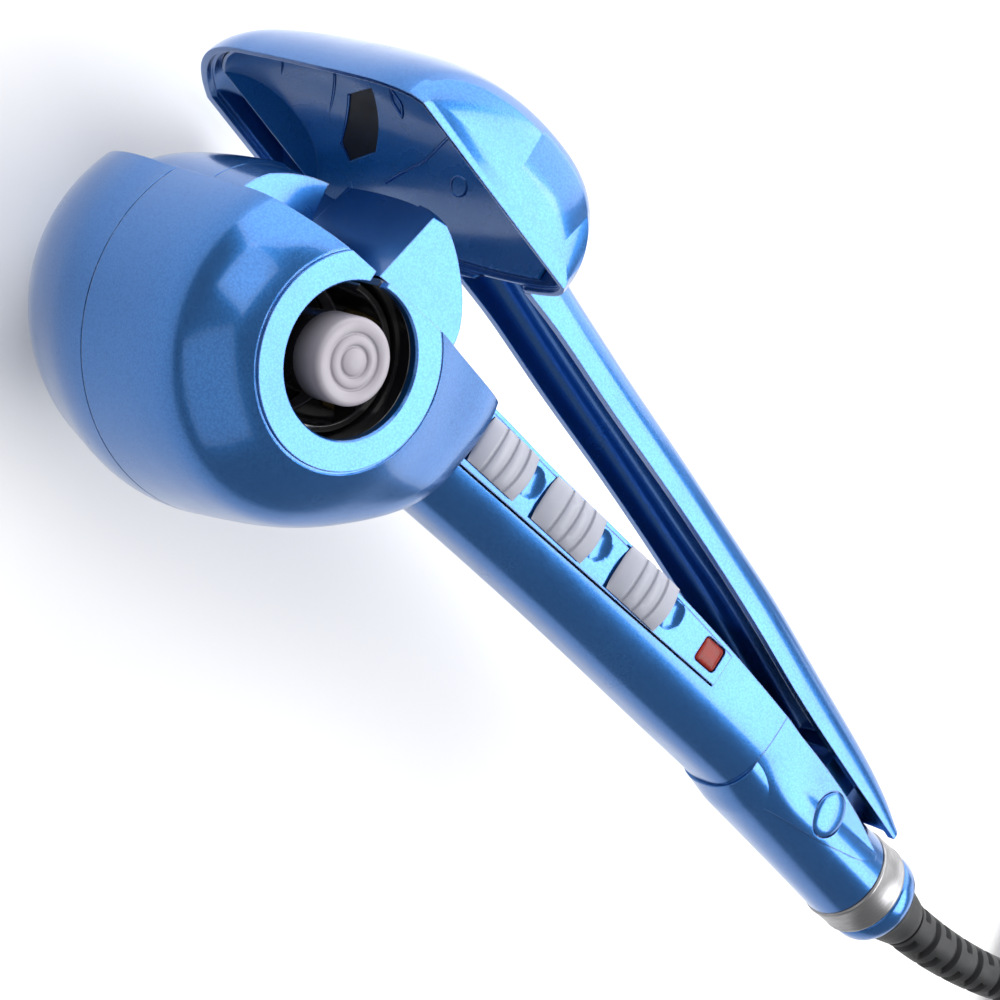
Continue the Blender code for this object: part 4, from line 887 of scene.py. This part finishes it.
def make_relief():
    """Tapered boot with staggered rows of short slots."""
    rows, steps = 9, 96
    shares = [0.0, 0.004]
    for k in range(rows):
        for place in (0.28, 0.34, 0.40, 0.55, 0.70, 0.76, 0.82, 1.0):
            shares.append((k + place) / rows)
    rings = []
    for t in shares:
        centre, forward = relief_axis(t)
        side = Vector((-forward.y, forward.x, 0.0))
        row = min(int(t * rows), rows - 1)
        along = t * rows - row
        deep = ramp(along, 0.28, 0.40) * (1.0 - ramp(along, 0.70, 0.82))
        ring = []
        for i in range(steps):
            a = 2.0 * math.pi * i / steps
            gap = ramp(math.cos(2.0 * a + math.pi * (row % 2)), -0.62, -0.38)
            radius = (6.3 - 1.1 * t) - 1.35 * deep * gap - 0.5 * (t == 0.0)
            ring.append(centre + side * (radius * math.cos(a))
                        + Vector((0.0, 0.0, radius * math.sin(a))))
        rings.append(ring)
    keep(loft(rings, "cord_boot", LOOKS["rubber"], sharp=28.0), "swivel", "black_rubber",
         "strain_relief")


def tube(centres, radius, name, look, steps=16):
    """Round tube round a line of centres, its rings turned as little as possible."""
    rings = []
    ahead = (centres[1] - centres[0]).normalized()
    side = ahead.cross(Vector((0.0, 0.0, 1.0))).normalized()
    for k, centre in enumerate(centres):
        new = (centres[min(k + 1, len(centres) - 1)] - centres[max(k - 1, 0)]).normalized()
        side.rotate(ahead.rotation_difference(new))
        ahead = new
        up = ahead.cross(side)
        rings.append([centre + side * (radius * math.cos(2 * math.pi * i / steps))
                      + up * (radius * math.sin(2 * math.pi * i / steps)) for i in range(steps)])
    return loft(rings, name, look, sharp=60.0)


def spiral(start, turns, first, last, low, high, per=40):
    """Turns of the coil from one radius and height to another."""
    points = []
    for k in range(1, round(turns * per) + 1):
        share = k / round(turns * per)
        a = math.radians(start) + 2.0 * math.pi * turns * share
        radius = first + (last - first) * share
        points.append(COIL + Vector((radius * math.cos(a), radius * math.sin(a),
                                     low + (high - low) * ramp(share * turns, 0.0, 0.35))))
    return points


def make_cord():
    """Cord from the strain relief down to the surface, coiled in three layers, with its plug."""
    end, forward = relief_axis(1.0)
    start = end + forward * 0.3
    run = spline([start, start + forward * 12.0] + [Vector(p) for p in CORD_ROUTE], 10)
    join = run[-1]
    angle = math.degrees(math.atan2(join.y - COIL.y, join.x - COIL.x)) % 360.0
    radius, height = math.hypot(join.x - COIL.x, join.y - COIL.y), join.z
    to_arc = END_ARC[1] + 360.0 - (angle + 2.0 * LAYER_TURNS * 360.0) % 360.0
    line = list(run)
    for turns, (end_radius, end_height) in zip((LAYER_TURNS, LAYER_TURNS, 2.0 + to_arc / 360.0),
                                               LAYERS):
        line += spiral(angle, turns, radius, end_radius, height, end_height)
        angle += 360.0 * turns
        radius, height = end_radius, end_height
    del line[-SHORT_OF_ARC:]
    radius, low, high = END_ARC
    for i in range(29):
        a = math.radians(low + (high - low) * i / 28)
        z = 18.0 + 6.9 * ramp(i, 0.0, 9.0) + (PLUG_Z - 24.9) * ramp(i, 14.0, 28.0)
        line.append(COIL + Vector((radius * math.cos(a), radius * math.sin(a), z)))
    centres = resampled(line, 5.0)
    cord = tube(centres, CORD_R, "mains_cord", LOOKS["rubber"])
    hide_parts("cord_run", "cord_coil", "cord_end")
    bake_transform(cord)
    plug = make_plug(centres[-1], math.radians(high + 90.0))
    measured = sum((b - a).length for a, b in zip(centres, centres[1:])) * MM
    print("cord length", round(measured, 3))


def make_plug(start, turn):
    """Flat two-blade mains plug with a grip of fine ribs."""
    place = Matrix.Translation(start * MM) @ Matrix.Rotation(turn, 4, "Z")
    rings = []
    outline = [(0.8, 4.4, 4.4), (1.4, 4.6, 4.6), (9.0, 5.4, 5.2), (14.0, 8.0, 6.6),
               (20.0, 11.0, 7.8), (33.0, 12.0, 8.0), (34.4, 11.7, 7.8), (35.0, 11.0, 7.4)]
    for x in steps_of(0.8, 35.0, 0.6):
        w, h = smooth(outline, x), smooth(outline, x, 2)
        rib = 0.3 * (1.0 if 15.0 < x < 30.0 and int(x / 1.2) % 2 else 0.0)
        rings.append([(x, u, v) for u, v in rounded(2.0 * (w - rib), 2.0 * h,
                                                    min(w, h) * 0.75, steps=8)])
    body = loft(rings, "plug_grip", LOOKS["rubber"], sharp=40.0)
    body.data.transform(place)
    keep(body, "handle", "black_rubber", "plug_body")
    pieces = [body]
    for index, offset in enumerate((-6.35, 6.35)):
        rings = []
        for x, shrink in ((35.3, 0.0), (50.8, 0.0), (51.9, 0.3), (52.3, 0.9)):
            rings.append([(x, offset + u, v) for u, v in
                          rounded(1.5 - shrink * 0.8, 6.4 - shrink, 0.3, steps=4)])
        blade = loft(rings, f"blade_{index + 1}", LOOKS["brass"])
        hole = turned([(1.6, -3.0), (1.6, 3.0)], steps=32)
        hole.data.transform(Matrix.Translation(Vector((47.0, offset, 0.0)) * MM)
                            @ Matrix.Rotation(math.radians(90.0), 4, "X"))
        cut(blade, [hole])
        blade.data.transform(place)
        keep(blade, "handle", "brass", f"plug_blade_{index + 1}")
        pieces.append(blade)
    return pieces

# ---- upper arm ----

def arm_outline(x, half, inset, steps=48):
    """Upper arm's arched section, jaw closed."""
    rim, back = smooth(ARM, x), smooth(ARM, x, 2) - inset
    points = []
    for i in range(steps + 1):
        a = math.pi * i / steps
        points.append((x, rim + (back - rim) * math.sin(a) ** 0.62,
                       MIDDLE + half * signed_power(math.cos(a), 0.55)))
    return points


def make_arm():
    """Channelled upper arm with the hinge ears under its tail end."""
    rings = []
    for x in steps_of(ARM[0][0], ARM[-1][0], 2.5):
        rings.append(arm_outline(x, HALF, 0.0) + arm_outline(x, HALF - 2.2, WALL)[::-1])
    arm = loft(rings, "lever_arm", LOOKS["blue"], sharp=35.0)
    additions = []
    for side in (1.0, -1.0):
        outline = [(HINGE.x - 5.5, 15.5), (HINGE.x + 5.5, 15.5)]
        outline += [(HINGE.x + 5.5 * math.cos(math.radians(a)), 5.5 * math.sin(math.radians(a)))
                    for a in range(0, -181, -6)]
        additions.append(prism(outline, *sorted((MIDDLE + side * 5.6, MIDDLE + side * 8.2))))
    additions.append(box((HINGE.x - 5.5, 13.0, MIDDLE - 8.2), (HINGE.x + 5.5, 17.4, MIDDLE + 8.2)))
    cut(arm, additions, "UNION", sharp=35.0)
    bore = turned([(3.6, MIDDLE - 16.0), (3.6, MIDDLE + 16.0)], centre=HINGE[:2])
    cut(arm, [bore], sharp=35.0)
    keep(opened(arm), "upper_arm", "blue_gloss", "upper_arm_shell")


def on_liner(x, depth):
    """A point on the liner's inner face."""
    left, right, apex, top = lid_size(depth, 2.25)
    half, power = (right - apex, LID_POWER) if x > apex else (apex - left, 1.0)
    c = min(abs(x - apex) / half, 0.999) ** (1.0 / power)
    floor = PARTING_Y - 4.0
    return Vector((x, floor + (top - floor) * math.sqrt(1.0 - c * c) ** power, Z0 - depth))


def lid_patch(outline):
    """Cutter over an outline given as places and depths."""
    return prism([(x, Z0 - depth) for x, depth in outline], 21.5, 60.0, axis="Y")


def resampled_flat(outline, spacing):
    """Places and depths at an even spacing along an outline."""
    line = resampled([Vector((x, depth, 0.0)) for x, depth in outline], spacing)
    return [(p.x, p.y) for p in line]


def make_lid():
    """Domed lid with a stepped rim, and its liner with the moulded tracks inside."""
    def joint():
        return box((36.0, PARTING_Y - 5.0, MIDDLE - HALF - 0.4), (70.0, 60.0, MIDDLE + HALF + 0.4))

    lid = lid_form(name="lid", look=LOOKS["blue"])
    lip = cut(lid_form(0.9, PARTING_Y - 4.0, 1.6, 93.0),
              [box((-70.0, 19.5, -10.0), (90.0, 80.0, Z0 + 10.0))])
    cut(lid, [lid_form(1.5, PARTING_Y - 4.0, 1.6, 91.0), lip, joint()], sharp=30.0)
    keep(opened(lid), "upper_arm", "blue_gloss", "lid_shell")

    # The lining's lighter blue is painted light, standing in for light reaching inside the lid.
    liner = lid_form(1.65, PARTING_Y - 4.0, 14.0, 85.0, "lid_lining", LOOKS["inner"])
    window = lid_patch([(1.0, 70.5), (0.0, 63.0), (17.0, 72.0), (17.0, 78.0), (12.5, 79.0)])
    cut(liner, [lid_form(2.25, PARTING_Y - 4.0, 12.0, 85.0), window,
                box((-60.0, 0.0, -10.0), (90.0, 21.0, Z0 + 10.0)), joint()], sharp=30.0)
    keep(opened(liner), "upper_arm", "blue_satin_inner", "lid_liner")

    # Black sheet behind the liner's window: painted shade, a dark sheet standing in for the shadow
    # inside the lid's slot.
    plate = cut(lid_form(1.6, PARTING_Y - 4.0, 14.0, 85.0, "lid_window", LOOKS["plastic"]),
                [lid_form(1.9, PARTING_Y - 4.0, 12.0, 85.0)])
    cut(plate, [lid_patch([(0.6, 71.0), (-0.5, 62.4), (17.4, 71.8), (17.4, 78.4), (12.4, 79.4)])],
        "INTERSECT")
    keep(opened(plate), "upper_arm", "black_plastic")
    tracks = {"lid_track_outer": [(-20.0, 70.0), (-10.5, 79.5), (-8.5, 81.0), (16.0, 80.2),
                                  (24.0, 76.0)],
              "lid_track_inner": [(-10.5, 65.0), (8.0, 81.0), (10.0, 82.0), (18.0, 80.5)],
              "lid_window_trim": [(1.0, 70.5), (12.0, 78.8), (13.0, 79.2), (17.0, 78.2)],
              "lid_tab": [(0.0, 57.0), (5.6, 58.2), (10.0, 61.0), (4.8, 60.4), (0.0, 57.0)],
              "lid_plate_edge": [(14.0, 47.0), (21.0, 60.0), (23.0, 70.0)]}
    for name, line in tracks.items():
        track = tube([on_liner(*spot) for spot in resampled_flat(line, 1.6)], 0.42, name,
                     LOOKS["blue"], 12)
        keep(opened(track), "upper_arm", "blue_gloss")
    spot = on_liner(26.0, 50.0)
    boss = turned([(2.9, 0.3), (2.75, -0.1), (2.2, -0.2), (1.9, 0.0), (1.5, 0.15), (0.3, 0.2)],
                  "lid_boss", LOOKS["blue"], sharp=40.0)
    across = on_liner(27.0, 50.0) - on_liner(25.0, 50.0)
    down = on_liner(26.0, 51.0) - on_liner(26.0, 49.0)
    outward = across.cross(down)
    outward = outward if outward.y > 0.0 else -outward
    turn = Vector((0.0, 0.0, 1.0)).rotation_difference(outward).to_matrix().to_4x4()
    boss.data.transform(Matrix.Translation(spot * MM) @ turn)
    keep(opened(boss), "upper_arm", "blue_gloss")


# ---- scene ----

def area_light(name, place, target, size, power):
    data = bpy.data.lights.new(name, "AREA")
    data.shape = "RECTANGLE"
    data.size, data.size_y = size
    data.energy = power
    light = bpy.data.objects.new(name, data)
    bpy.context.scene.collection.objects.link(light)
    light.location = place
    light.rotation_euler = (Vector(target) - Vector(place)).to_track_quat("-Z", "Y").to_euler()


def make_stage():
    """Pale floor, a soft white world and five area lights."""
    n = Nodes("pale_floor")
    cloud = n.noise(6.0, 4.0)
    n.set(Base_Color=n.mix(n.spread(cloud, 0.0, 1.0), (0.89, 0.89, 0.90), (0.92, 0.92, 0.92)),
          Roughness=n.spread(cloud, 0.55, 0.7), Normal=n.bump(n.noise(900.0), 0.03, 0.1))
    bm = bmesh.new()
    bmesh.ops.create_grid(bm, x_segments=1, y_segments=1, size=6000.0)
    floor = finish(bm, "floor", n.mat)

    world = bpy.data.worlds.new("studio")
    world.use_nodes = True
    world.node_tree.nodes["Background"].inputs["Color"].default_value = (1.0, 1.0, 1.0, 1.0)
    world.node_tree.nodes["Background"].inputs["Strength"].default_value = 0.36
    bpy.context.scene.world = world
    centre = (0.1, 0.0, 0.07)
    area_light("side", (-0.15, 0.62, 0.38), (-0.15, 0.0, 0.3), (1.7, 0.74), 12.0)
    area_light("top", (0.80, 0.30, 1.05), centre, (0.9, 0.7), 13.0)
    area_light("rear", (-0.75, 0.25, 0.9), centre, (0.6, 0.6), 2.5)
    area_light("end", (1.15, 0.35, 0.22), (0.2, 0.0, 0.1), (0.8, 0.42), 2.0)
    area_light("front", (-0.35, -0.75, 0.7), centre, (1.2, 0.9), 2.6)


def make_camera():
    """Long lens looking down on the head, with the handle running off to the lower right."""
    data = bpy.data.cameras.new("camera")
    data.lens = 156.44
    data.sensor_width = 36.0
    data.clip_start = 0.01
    camera = bpy.data.objects.new("camera", data)
    bpy.context.scene.collection.objects.link(camera)
    camera.location = (-0.4987, -0.1997, 0.8273)
    camera.rotation_euler = [math.radians(angle) for angle in (-12.944, -37.093, 40.679)]
    bpy.context.scene.camera = camera


# ---- the tool ----

make_drum()
make_guides()
make_winder()
make_handle()
make_tail()
make_relief()
make_cord()
make_arm()
make_lid()
make_stage()
make_camera()
bpy.context.scene.view_settings.view_transform = "Standard"
